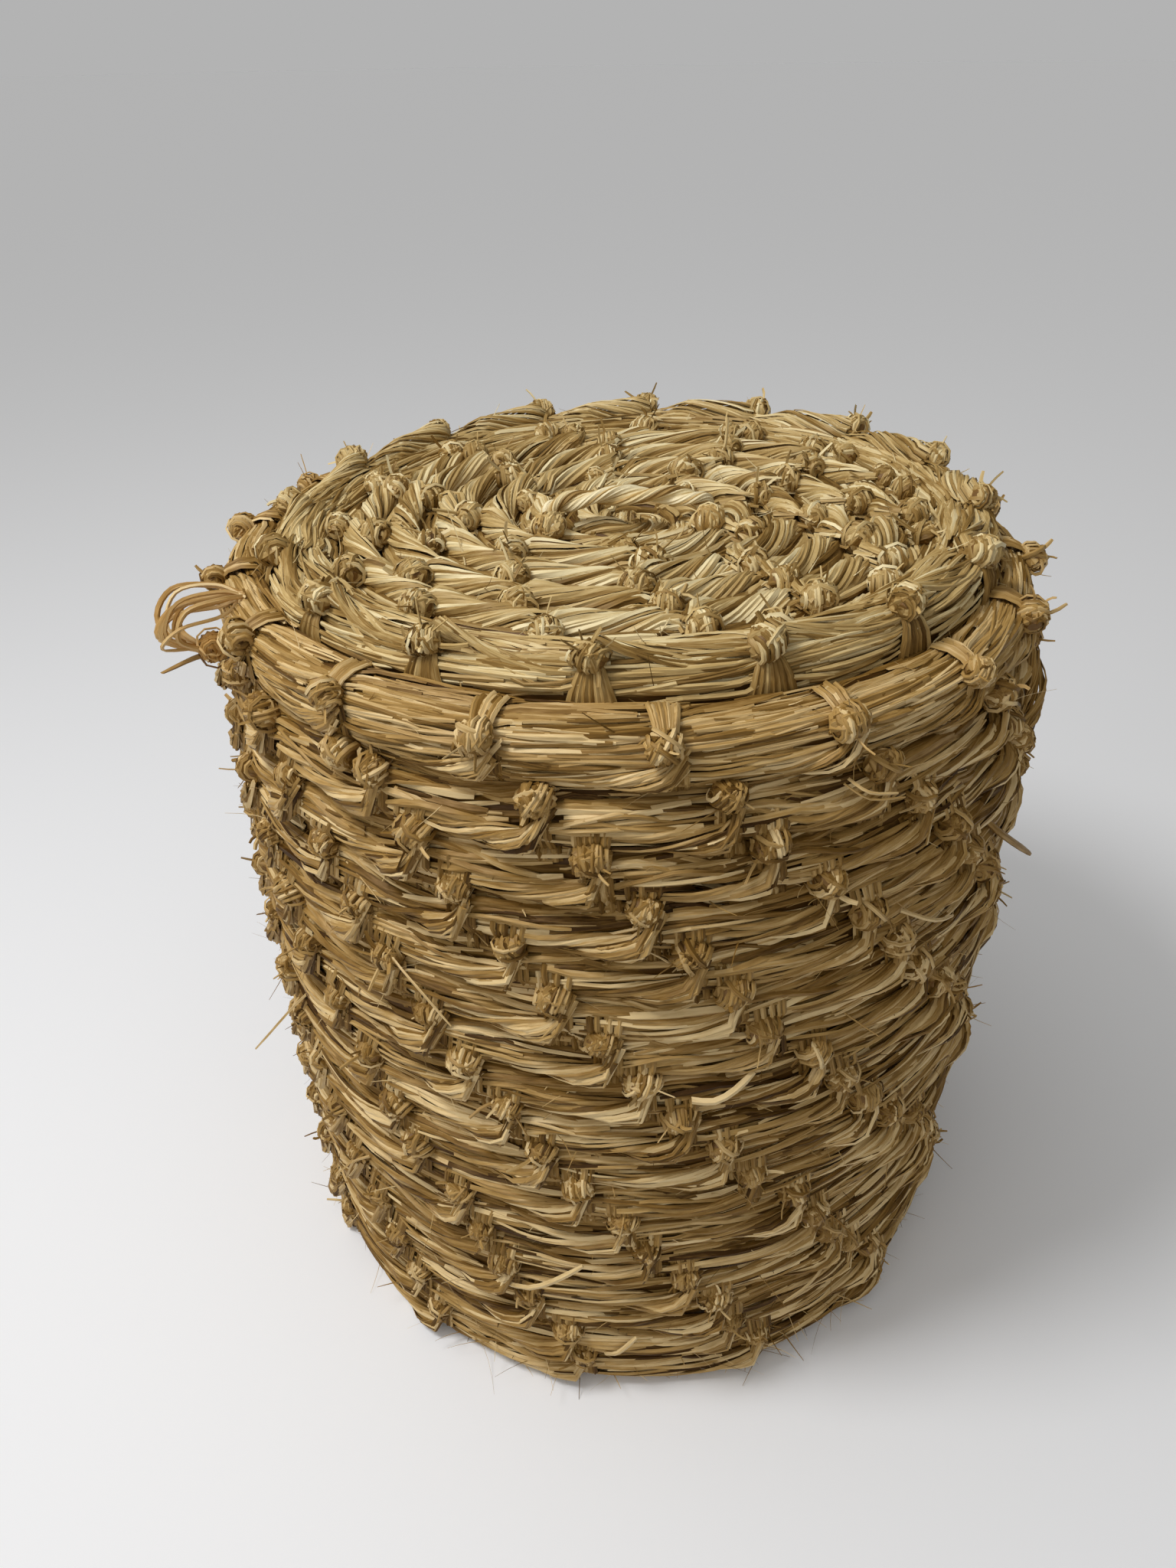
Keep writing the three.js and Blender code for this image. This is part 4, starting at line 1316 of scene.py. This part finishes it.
@dataclass
class Rim:
    """The body's thick last turn, with a knot every stitch on its shoulder.

    Attributes:
        name: What its pieces' and its nodes' names start with.
        slot: Its rope's material slot; not used.
        way: 1 where stitches follow each other to the right of the front, -1 to the left.
        lean: The direction that its knots face, in degrees above level.
        stitched: The radius that a stitch's length is measured at.
        shading: How far the straws' shades spread, and how much darker than usual they are.
        lined: How many straws line each stitch away from the knots, and where round the rope.
        whiskers: How many loose ends each stitch has, and where round the rope.
    """

    name: str = "rim"
    body: str = BASKET
    slot: str = "straw_wall"
    way: int = 1
    radius: float = 205.26 * MM
    level: float = 454.4 * MM
    half: float = 14.5 * MM
    lean: float = 30.0
    stitch_length: float = 78.0 * MM
    stitched: float = 219.8 * MM
    first_knot: float = 2.0
    seed: int = 31
    shading: Pair = (0.18, -0.08)
    lined: tuple[int, Pair] = (24, (100.0, 232.0))
    whiskers: tuple[int, Pair] = (6, (-100.0, 60.0))
    # Its straws towards the lid and towards its underside are painted darker: painted shade in the grooves
    # beside it.
    stitch: StitchStyle = StitchStyle(
        gathered=24, passing=112, underlay=14, fan=(-86, 10), cover=(-128, 80), gather=(0.5, 0.88),
        bundle=7 * MM, tail=5.5 * MM, line=(-54, -46, -20), proud=(1.5 * MM, 4 * MM), skew=10,
        half_width=(0.8 * MM, 2.0 * MM), painted_shade_limits=(-90, 56), painted_shade_strength=0.5)
    knot: KnotStyle = KnotStyle(
        across=0, out=21.6 * MM, neck=9, collar=((0, 6), (0, 26), (0, 46), (0, 64), (0, 80)),
        hem=((0, -10), (0, -50), (0, -90), (0, -118)))

    def stitch_at(self, angle: float) -> StitchStyle:
        """Return the stitch at an angle: here all are the same."""
        return self.stitch

    def build(self, finishes: Finishes) -> None:
        """Make the ring's pieces with their finishes."""
        rope = RingRope(0.0, 0.0, self.way, self.lean, 1, self.radius, self.level, self.half)
        cores = core_of(rope, np.linspace(0, 1.002, 150), 1.0)
        weaver = Weaver(rope, self.seed, *self.shading)
        guides = Guides()
        count = round(2 * math.pi * self.stitched / self.stitch_length)
        for number in range(count):
            begin = self.way * self.first_knot / 360 + number / count
            finish = begin + 1 / count
            weaver.stitch(guides, begin, finish, self.stitch_at(float(rope.angle(begin))))
            weaver.knot(guides, cores, begin, self.knot)
            weaver.lining(guides, begin, finish, *self.lined, self.stitch)
        weaver.loose_ends(guides, self.whiskers[0] * count, (0.0, 1.0), self.whiskers[1])
        make(f"{self.name}_rope", cores, finishes.core, self.body, (f"{self.name}_coil",),
             Section.ROPE)
        straw = finishes.lid if self.body == LID else finishes.wall
        make(f"{self.name}_straw", guides, straw, self.body, (f"{self.name}_ties",))


@dataclass
class LidRim(Rim):
    """The lid's thick outer turn, with wide straps round its outside.

    Attributes:
        back: How far from the front stitches start to look as at the back, and do so fully.
        at_back: The stitches there: thick twisted ropes right up to their knots.
    """

    name: str = "lid_rim"
    body: str = LID
    slot: str = "straw_lid"
    way: int = -1
    radius: float = 179.02 * MM
    level: float = 469.55 * MM
    half: float = 15.5 * MM
    lean: float = 60.0
    stitch_length: float = 70.0 * MM
    stitched: float = 179.02 * MM
    first_knot: float = -6.5
    seed: int = 41
    shading: Pair = (0.16, 0.0)
    lined: tuple[int, Pair] = (9, (118.0, 186.0))
    whiskers: tuple[int, Pair] = (5, (-90.0, 80.0))
    # Its lower outside straws are painted much darker: painted shade in the gap above the body's rim, and its
    # inner straws in the groove beside the lid's top.
    stitch: StitchStyle = StitchStyle(
        gathered=32, passing=107, underlay=14, fan=(-34, 88), cover=(-122, 126), gather=(0.26, 0.95),
        bundle=9 * MM, tail=6.5 * MM, line=(34, 20, 2), proud=(2 * MM, 6 * MM), hook=3 * MM, slope=-6,
        skew=12, half_width=(0.8 * MM, 2.2 * MM), painted_shade_limits=(-62, 96), painted_shade_strength=0.9)
    knot: KnotStyle = KnotStyle(across=0, out=22.4 * MM, neck=0, skirt=0, strap=7, stubs=(3, 7))
    back: Pair = (75.0, 125.0)
    at_back: StitchStyle = StitchStyle(bundle=10.6 * MM, tail=8.4 * MM, twist=-260.0, gather=(0.06, 0.4))

    def stitch_at(self, angle: float) -> StitchStyle:
        """Return the stitch at an angle, between the usual one and that at the back."""
        share = float(smooth(*self.back, np.abs((angle + 180) % 360 - 180)))
        usual, back = self.stitch, self.at_back
        return replace(usual, bundle=mix(usual.bundle, back.bundle, share),
                       tail=mix(usual.tail, back.tail, share), twist=mix(usual.twist, back.twist, share),
                       gather=tuple(mix(a, b, share) for a, b in zip(usual.gather, back.gather)))


@dataclass
class LidTop(TiedCoil):
    """The lid's flat rope, tied ring to ring.

    Attributes:
        groove_radius: The middle of the groove beside the lid's rim.
        groove_half: Half the thickness of what lies in it.
        feet: The places of the handle's feet.
        foot_room: How far low knots keep from them.
        low_from: The turn where the inner turns' knots start, and that where their stitches do.
        low_share: How long their stitches are for the others.
        low_knot: The inner turns' knots, which lie low under the handle.
        low_stitch: Their stitches.
    """

    end_angle: float = -20.0
    rows: int = 4
    first_knot: float = -6.5
    knot_lean: float = 9.0
    bare: float = 0.75
    run_out: float = 0.05
    usual: float = 66.0 * MM
    whiskers: int = 4
    inner: float = 7.3 * MM
    outer: float = 159.44 * MM
    pitch: float = 25.7 * MM
    level: float = 469.55 * MM
    thickness: float = 23.0 * MM
    groove_radius: float = 161.5 * MM
    groove_half: float = 7.0 * MM
    feet: tuple[Pair, ...] = ((-42.0 * MM, -18.0 * MM), (42.0 * MM, -18.0 * MM))
    foot_room: float = 15.0 * MM
    low_from: Pair = (1.5, 0.75)
    low_share: float = 0.72
    seed: int = 53
    # Straws down between the rings are painted darker: painted shade in the grooves between them.
    stitch: StitchStyle = StitchStyle(
        gathered=30, passing=4, underlay=14, fan=(-84, 84), cover=(-116, 112), gather=(0.02, 0.2),
        ragged=0.05, bundle=10.4 * MM, tail=8.2 * MM, line=(-10, -2, 40), proud=(-1.5 * MM, 1.5 * MM),
        hook=5 * MM, twist=-230, slope=6, skew=8, half_width=(1.4 * MM, 2.9 * MM), painted_shade_limits=(-54, 50), painted_shade_strength=0.7)
    knot: KnotStyle = KnotStyle(
        radius=7.2 * MM, out=15.4 * MM, neck=5, collar=((0, 84), (1, -84), (1, -60), (1, -45)), skirt=4,
        hem=((0, 40), (0, -10), (0, -50)), stubs=(2, 6))
    low_knot: KnotStyle = KnotStyle(radius=6.0 * MM, out=11.2 * MM, neck=0, skirt=0, stubs=(0, 2))
    low_stitch: StitchStyle = StitchStyle(
        gathered=26, passing=4, fan=(-84, 84), gather=(0.02, 0.25), ragged=0.05, bundle=8.6 * MM,
        tail=6.8 * MM, line=(-10, 0, 40), proud=(-4.8 * MM, -2.8 * MM), twist=-220, slope=6, skew=8,
        half_width=(1.3 * MM, 2.7 * MM), loft=2.0 * MM)

    def __post_init__(self) -> None:
        """Lay out the rope and its weaver."""
        self.turns = (self.outer - self.inner) / self.pitch + 1
        self.rope = FlatRope(self.end_angle, self.turns, -1, 90.0, -1, self.pitch, self.outer - self.inner,
                             self.inner, self.level, self.thickness)
        self.weaver = Weaver(self.rope, self.seed, 0.2, -0.02)

    def stitch_size(self, number: int, at_front: float) -> Pair:
        """Return the same stitch length for every ring, and the ring's radius."""
        return self.usual, self.inner + at_front * self.pitch

    def build(self, finishes: Finishes) -> None:
        """Make the lid top's pieces with their finishes."""
        cores = core_of(self.rope, np.linspace(0.12, self.turns - self.run_out, round(self.turns * 48)), 1.0)
        straws, first = self.tie(cores)
        for number, guides in enumerate(straws, 1):
            make(f"lid_ring_{number}_straw", guides, finishes.lid, LID,
                 (f"lid_ties_ring_{number}",))
        middle = Guides()
        self._tie_low(middle, cores, first)
        self._line_below(middle)
        self._fill_groove(middle)
        top = UP * (self.level + self.thickness * 0.2)
        self.weaver.ball(middle, cores, top, np.eye(3), 8 * MM, 10)
        make("lid_rope", cores, finishes.core, LID, ("lid_coil",), Section.ROPE, 0.88)
        make("lid_middle_straw", middle, finishes.lid, LID, ("lid_start_knot",))

    def _tie_low(self, guides: Guides, cores: Guides, start: float) -> None:
        """Lay the inner turns' low stitches, from the first knot of the rings in to the middle."""
        while start > self.low_from[1]:
            step = self.rope.turns_for(self.usual * self.low_share, start)
            self.weaver.stitch(guides, start - step, start, self.low_stitch)
            center, _ = self.weaver.knot_frame(start - step, self.low_knot)
            room = min(math.hypot(center[0] - x, center[1] - y) for x, y in self.feet)
            if start > self.low_from[0] and room > self.foot_room:
                self.weaver.knot(guides, cores, start - step, self.low_knot)
            start -= step
        self.weaver.lining(guides, FLAT_START, start + 0.05, 30, (-92, 92), self.stitch)

    def _line_below(self, guides: Guides) -> None:
        """Lay the straws on the lid's underside."""
        for begin in np.arange(FLAT_START, self.turns, FLAT_BATCH):
            self.weaver.lining(guides, begin, begin + FLAT_BATCH, 12, (95, 265), self.stitch)

    def _fill_groove(self, guides: Guides) -> None:
        """Lay the straws that show down in the groove beside the lid's rim."""
        groove = RingRope(0.0, 0.0, -1, 90.0, -1, self.groove_radius, self.level, self.groove_half)
        for begin in np.arange(0, 1, BATCH):
            weaver = Weaver(groove, self.seed + round(begin * 100), 0.2, 0.04)
            weaver.lining(guides, begin, begin + BATCH, 6, (-75, 75), self.stitch)


@dataclass
class Handle:
    """The handle: a twisted rope of straw with a ball knot before each foot."""

    span: float = 84.0 * MM
    rise: float = 11.5 * MM
    radius: float = 4.6 * MM
    offset: float = -18.0 * MM
    foot_level: float = 486.35 * MM
    knot_radius: float = 7.4 * MM
    knot_ahead: float = 16.0 * MM
    knot_level: float = 488.55 * MM
    strands: int = 2
    blades: int = 9
    half_width: Pair = (1.2 * MM, 2.3 * MM)
    twists: float = 2.2
    seed: int = 61

    def path(self, share: Array) -> Array:
        """Return places on the handle's centre line, which is flat on top and steep at its feet."""
        turned = math.pi * share
        level = np.abs(np.sin(turned)) ** 0.5
        x = -self.span / 2 * np.cos(turned)
        return np.stack(np.broadcast_arrays(x, self.offset, self.foot_level + self.rise * level), -1)

    def build(self, finishes: Finishes) -> None:
        """Make the handle and its knots with their finish."""
        random = np.random.default_rng(self.seed)
        steps = np.linspace(0, 1, 44)
        path = self.path(steps)
        side = np.array([0.0, 1.0, 0.0])
        up = np.cross(unit(np.gradient(path, axis=0)), side)
        guides = Guides()
        for strand in range(self.strands):
            lay = 2 * math.pi * (strand / self.strands + self.twists * steps)
            center = path + 0.5 * self.radius * turned_towards(up, side, lay)
            for turned in np.linspace(0, 2 * math.pi, self.blades, endpoint=False):
                spoke = turned_towards(up, side, lay + turned + random.normal(0, 0.12) + 1.4 * steps)
                points = center + spoke * self.radius * random.uniform(0.5, 0.62)
                guides.strand(points, spoke, random.uniform(*self.half_width),
                              np.clip(random.normal(0.34, 0.24), 0, 1))
        make("handle_rope", guides, finishes.handle, HANDLE, ("lid_handle",))
        weaver = Weaver(None, self.seed)
        for name, sign in (("left", -1), ("right", 1)):
            knots = Guides()
            cores = Guides()
            center = np.array([sign * self.span / 2, self.offset - self.knot_ahead, self.knot_level])
            weaver.ball(knots, cores, center, np.eye(3), self.knot_radius, 12)
            make(f"handle_knot_{name}", knots, finishes.handle, LID,
                 (f"lid_handle_knot_{name}",))
            make(f"handle_knot_{name}_filling", cores, finishes.handle, LID, (), Section.ROPE)


@dataclass
class SideLoop:
    """The loose loop of straws at the rim's left side, with the knot that it starts from.

    Attributes:
        angle: Where it sits.
        knot_out: How far the knot's middle lies from the basket's axis.
        radii: How far from the axis the widest straw passes, from the knot to the rim.
        levels: How far above the knot's middle it does.
    """

    angle: float = -67.0
    knot_out: float = 230.3 * MM
    knot_radius: float = 7.4 * MM
    knot_level: float = 447.15 * MM
    radii: tuple[float, ...] = (235.3 * MM, 255.5 * MM, 245.4 * MM, 223.2 * MM, 211.1 * MM)
    levels: tuple[float, ...] = (0.0, 12.0 * MM, 30.0 * MM, 32.5 * MM, 24.55 * MM)
    straws: int = 11
    half_width: Pair = (1.1 * MM, 2.3 * MM)
    seed: int = 71

    def build(self, finishes: Finishes) -> None:
        """Make the loop and its knot with their finishes."""
        random = np.random.default_rng(self.seed)
        guides = Guides()
        cores = Guides()
        start = self.radii[0]
        reach = np.array(self.radii) - start
        steps = np.linspace(0, len(self.radii) - 1, 21)
        for _ in range(self.straws):
            wide = random.uniform(0.45, 1.0)
            tall = random.uniform(0.5, 1.0)
            radius = start + through(reach * [1, wide, wide, 1, 1], steps)
            height = self.knot_level + through(np.array(self.levels) * [1, tall, tall, tall, 1], steps)
            spread = np.sin(steps / steps[-1] * math.pi)
            angle = self.angle + random.normal(0, 0.6) + random.normal(0, 3.2) * spread
            facing = around(self.angle + 90 + random.normal(0, 25), 1.0, 0.0)
            guides.strand(around(angle, radius, height), facing, random.uniform(*self.half_width),
                          np.clip(random.normal(0.4, 0.2), 0, 1))
        center = around(self.angle, self.knot_out, self.knot_level)
        Weaver(None, self.seed).ball(guides, cores, center, ways_at(self.angle), self.knot_radius, 10)
        make("side_loop_straw", guides, finishes.ties, BASKET, ("side_loop", "side_loop_knot"))
        make("side_loop_filling", cores, finishes.core, BASKET, (), Section.ROPE)


@dataclass(frozen=True)
class Stray:
    """One loose straw, by the places that it passes through.

    Attributes:
        places: Degrees from the front, and the height and distance off the wall in millimetres.
        half_width: Half the straw's width.
        shade: Its shade.
        whole: Whether it is a whole round stem, not split and pressed flat.
    """

    places: Places
    half_width: float
    shade: float
    whole: bool = False


@dataclass
class LooseStraws:
    """Straws that have come loose from the wall, and the loose twist under the rim at the right."""

    strays: tuple[Stray, ...] = (
        Stray(((54.0, 362, 0), (56.5, 350, 7), (65.2, 319, 19)), 2.1 * MM, 0.55, True),
        Stray(((-57.5, 240, 2), (-60.5, 221, 12), (-65.5, 182, 33)), 1.1 * MM, 0.2),
        Stray(((-66.0, 446, 8), (-67.5, 442, 20), (-67.6, 437, 36)), 1.7 * MM, 0.6, True),
        Stray(((6.0, 265, 6), (8.5, 268, 11), (11, 274, 11), (13.6, 280, 7)), 2.3 * MM, 0.0),
        Stray(((-20.4, 96, 5), (-16, 104, 9), (-12, 118, 10), (-8.0, 130, 6)), 1.9 * MM, 0.05),
        Stray(((-5.1, 38, 4), (-3, 47, 8), (-0.2, 59, 5)), 1.8 * MM, 0.1),
        Stray(((33, 352, 4), (38, 340, 10), (43, 331, 8)), 1.2 * MM, 0.1),
        Stray(((-32, 330, 5), (-27, 322, 11), (-23, 306, 12)), 0.9 * MM, 0.15),
        Stray(((-44, 150, 5), (-47, 139, 10), (-49, 120, 13)), 1.0 * MM, 0.3),
        Stray(((22, 440, 6), (23.5, 436, 14), (26.5, 434, 17)), 0.8 * MM, 0.2),
        Stray(((21.5, 438, 6), (24, 431, 12), (28, 429, 15)), 0.6 * MM, 0.4),
        Stray(((31, 88, 5), (27, 80, 9), (22, 76, 11)), 1.3 * MM, 0.1),
        Stray(((112, 300, 4), (118, 288, 10), (122, 270, 16)), 1.2 * MM, 0.2),
        Stray(((-128, 210, 4), (-134, 200, 11), (-139, 182, 15)), 1.3 * MM, 0.3),
        Stray(((172, 330, 4), (168, 322, 9), (163, 318, 8)), 1.8 * MM, 0.05),
    )
    twist_path: Places = (
        (70.0, 443, 0), (69.0, 431, 6), (67.5, 417, 10), (65.5, 406, 10), (62.5, 399, 7), (58.5, 398, 2))
    twist_radius: float = 4.6 * MM
    twist_straws: int = 26
    twist_half_width: Pair = (0.6 * MM, 1.7 * MM)
    knot_place: Triple = (58.5, 404, 8)
    knot_radius: float = 7.0 * MM
    seed: int = 83

    def build(self, finishes: Finishes, wall: Wall) -> None:
        """Make the loose straws, which stand off the wall."""
        blades = Guides()
        stems = Guides()
        for stray in self.strays:
            points = self._line(stray.places, np.linspace(0, len(stray.places) - 1, 7), wall)
            facing = around(stray.places[0][0], 1.0, 0.4)
            ends = 0.7 + 0.3 * smooth(0, 0.2, np.linspace(1, 0, 7))
            kind = stems if stray.whole else blades
            kind.strand(points, facing, stray.half_width * ends, stray.shade)
        self._twist(blades, wall)
        make("loose_blades", blades, finishes.wall, BASKET)
        make("loose_stems", stems, finishes.wall, BASKET, (), Section.STEM)

    @staticmethod
    def _line(places: Places, steps: Array, wall: Wall) -> Array:
        """Return points on a smooth line through places on or off the wall."""
        angle, height, out = (through(values, steps) for values in np.array(places).T)
        return around(angle, wall.rope.outside(height * MM) + out * MM, height * MM)

    def _twist(self, guides: Guides, wall: Wall) -> None:
        """Lay a loose twisted bundle that stands off the wall, and wind its knot."""
        random = np.random.default_rng(self.seed)
        steps = np.linspace(0, len(self.twist_path) - 1, 17)
        path = self._line(self.twist_path, steps, wall)
        ahead = unit(np.gradient(path, axis=0))
        side = unit(np.cross(ahead, around(self.twist_path[0][0] + 90, 1.0, 0.0)))
        swell = 0.75 + 0.35 * np.sin(steps / steps[-1] * math.pi)
        for turned in np.linspace(0, 2 * math.pi, self.twist_straws, endpoint=False):
            spin = turned + random.normal(0, 0.3) + random.uniform(0.8, 1.3) * steps
            spoke = turned_towards(side, np.cross(ahead, side), spin)
            ripple = 1 + 0.13 * np.sin(steps * random.uniform(3, 6) + random.uniform(0, 6))
            reach = self.twist_radius * swell * random.uniform(0.6, 1.1) * ripple
            guides.strand(path + spoke * reach[:, None], spoke, random.uniform(*self.twist_half_width),
                          np.clip(random.normal(0.6, 0.24), 0, 0.9))
        angle, height, out = self.knot_place
        center = around(angle, wall.rope.outside(height * MM) + out * MM, height * MM)
        Weaver(None, self.seed).ball(guides, Guides(), center, ways_at(angle), self.knot_radius, 8)


# Studio

@dataclass
class Studio:
    """The floor, the soft light and the camera, whose focal length is in pixels of the photograph."""

    camera_place: Triple = (-0.0246, -0.6278, 0.7072)
    pitch: float = 32.71
    roll: float = -0.85
    focal_pixels: float = 1538.0
    sensor_height: float = 36.0
    near: float = 0.01
    floor_radius: float = 30.0
    floor_colour: str = "e9ebf0"
    floor_seen: str = "fafbfe"
    sky_colour: str = "f2f1ee"
    sky_seen: str = "b3b3b3"
    light_from: Triple = (-0.5, -0.38, 0.8)
    light_range: Pair = (-0.05, 0.95)
    light_levels: Pair = (0.02, 0.86)
    lamp_place: Triple = (-0.8, -0.4, 1.75)
    lamp_target: Triple = (0.0, 0.0, 0.3)
    lamp_size: float = 0.5
    lamp_power: float = 15.0

    def build(self) -> None:
        """Set up the view, the camera, the light and the floor."""
        scene = bpy.context.scene
        scene.view_settings.view_transform = "Standard"
        self._camera(scene)
        self._sky(scene)
        self._lamp(scene)
        self._floor(scene)

    def _camera(self, scene: Scene) -> None:
        """Place the camera at the photograph's angle."""
        data = bpy.data.cameras.new("photo_camera")
        data.sensor_fit = "VERTICAL"
        data.sensor_height = self.sensor_height
        data.sensor_width = self.sensor_height * PHOTO_WIDTH / PHOTO_HEIGHT
        data.lens = self.focal_pixels / PHOTO_HEIGHT * self.sensor_height
        data.clip_start = self.near
        camera = bpy.data.objects.new("photo_camera", data)
        turned = Matrix.Rotation(math.radians(90 - self.pitch), 4, "X")
        rolled = Matrix.Rotation(math.radians(self.roll), 4, "Z")
        camera.matrix_world = Matrix.Translation(Vector(self.camera_place)) @ turned @ rolled
        scene.collection.objects.link(camera)
        scene.camera = camera

    def _sky(self, scene: Scene) -> None:
        """Light the scene as a pale sky does, from above and a little from the left."""
        scene.world = bpy.data.worlds.new("studio_world")
        tree = empty_tree(scene.world)
        sky = add(tree, "ShaderNodeTexCoord")
        height = add(tree, "ShaderNodeVectorMath", {"operation": "DOT_PRODUCT"},
                     {0: sky.outputs["Generated"], 1: unit(np.array(self.light_from))})
        level = add(tree, "ShaderNodeMapRange", {"interpolation_type": "SMOOTHSTEP"}, {
            "Value": height.outputs["Value"],
            "From Min": self.light_range[0],
            "From Max": self.light_range[1],
            "To Min": self.light_levels[0],
            "To Max": self.light_levels[1],
        })
        fill = add(tree, "ShaderNodeBackground", None,
                   {"Color": linear(self.sky_colour), "Strength": level})
        pale = add(tree, "ShaderNodeBackground", None, {"Color": linear(self.sky_seen), "Strength": 1.0})
        self._show(tree, fill, pale, "ShaderNodeOutputWorld")

    def _lamp(self, scene: Scene) -> None:
        """Hang a large soft lamp above the basket."""
        data = bpy.data.lights.new("soft_light_above", "AREA")
        data.shape = "DISK"
        data.size = self.lamp_size
        data.energy = self.lamp_power
        lamp = bpy.data.objects.new("soft_light_above", data)
        place = Vector(self.lamp_place)
        turned = (Vector(self.lamp_target) - place).to_track_quat("-Z", "Y").to_matrix().to_4x4()
        lamp.matrix_world = Matrix.Translation(place) @ turned
        scene.collection.objects.link(lamp)

    def _floor(self, scene: Scene) -> None:
        """Lay a plain pale floor."""
        mesh = bpy.data.meshes.new("floor")
        corners = around(np.linspace(0, 360, 96, endpoint=False), self.floor_radius, 0.0)
        mesh.from_pydata(corners.tolist(), [], [list(range(len(corners)))])
        floor = bpy.data.objects.new("floor", mesh)
        scene.collection.objects.link(floor)
        # Matt paper: a plain surface without gloss or grain.
        material = bpy.data.materials.new("matt_paper_floor")
        tree = empty_tree(material)
        lit = add(tree, "ShaderNodeBsdfDiffuse", None, {"Color": linear(self.floor_colour)})
        seen = add(tree, "ShaderNodeBsdfDiffuse", None, {"Color": linear(self.floor_seen)})
        self._show(tree, lit, seen, "ShaderNodeOutputMaterial")
        mesh.materials.append(material)

    @staticmethod
    def _show(tree: NodeTree, lit: Node, seen: Node, output: str) -> None:
        """End a tree with one shader for the light and another for what the camera sees."""
        is_seen = add(tree, "ShaderNodeLightPath").outputs["Is Camera Ray"]
        both = add(tree, "ShaderNodeMixShader", None, {0: is_seen, 1: lit, 2: seen})
        add(tree, output, None, {"Surface": both})


def main() -> None:
    """Build the basket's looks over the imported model."""
    logging.basicConfig(level=logging.INFO, format="%(message)s")
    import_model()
    finishes = Finishes.mixed()
    wall = Wall()
    wall.build(finishes)
    Base().build(finishes, wall)
    Rim().build(finishes)
    LidRim().build(finishes)
    LidTop().build(finishes)
    Handle().build(finishes)
    SideLoop().build(finishes)
    LooseStraws().build(finishes, wall)
    Studio().build()


if __name__ == "__main__":
    main()
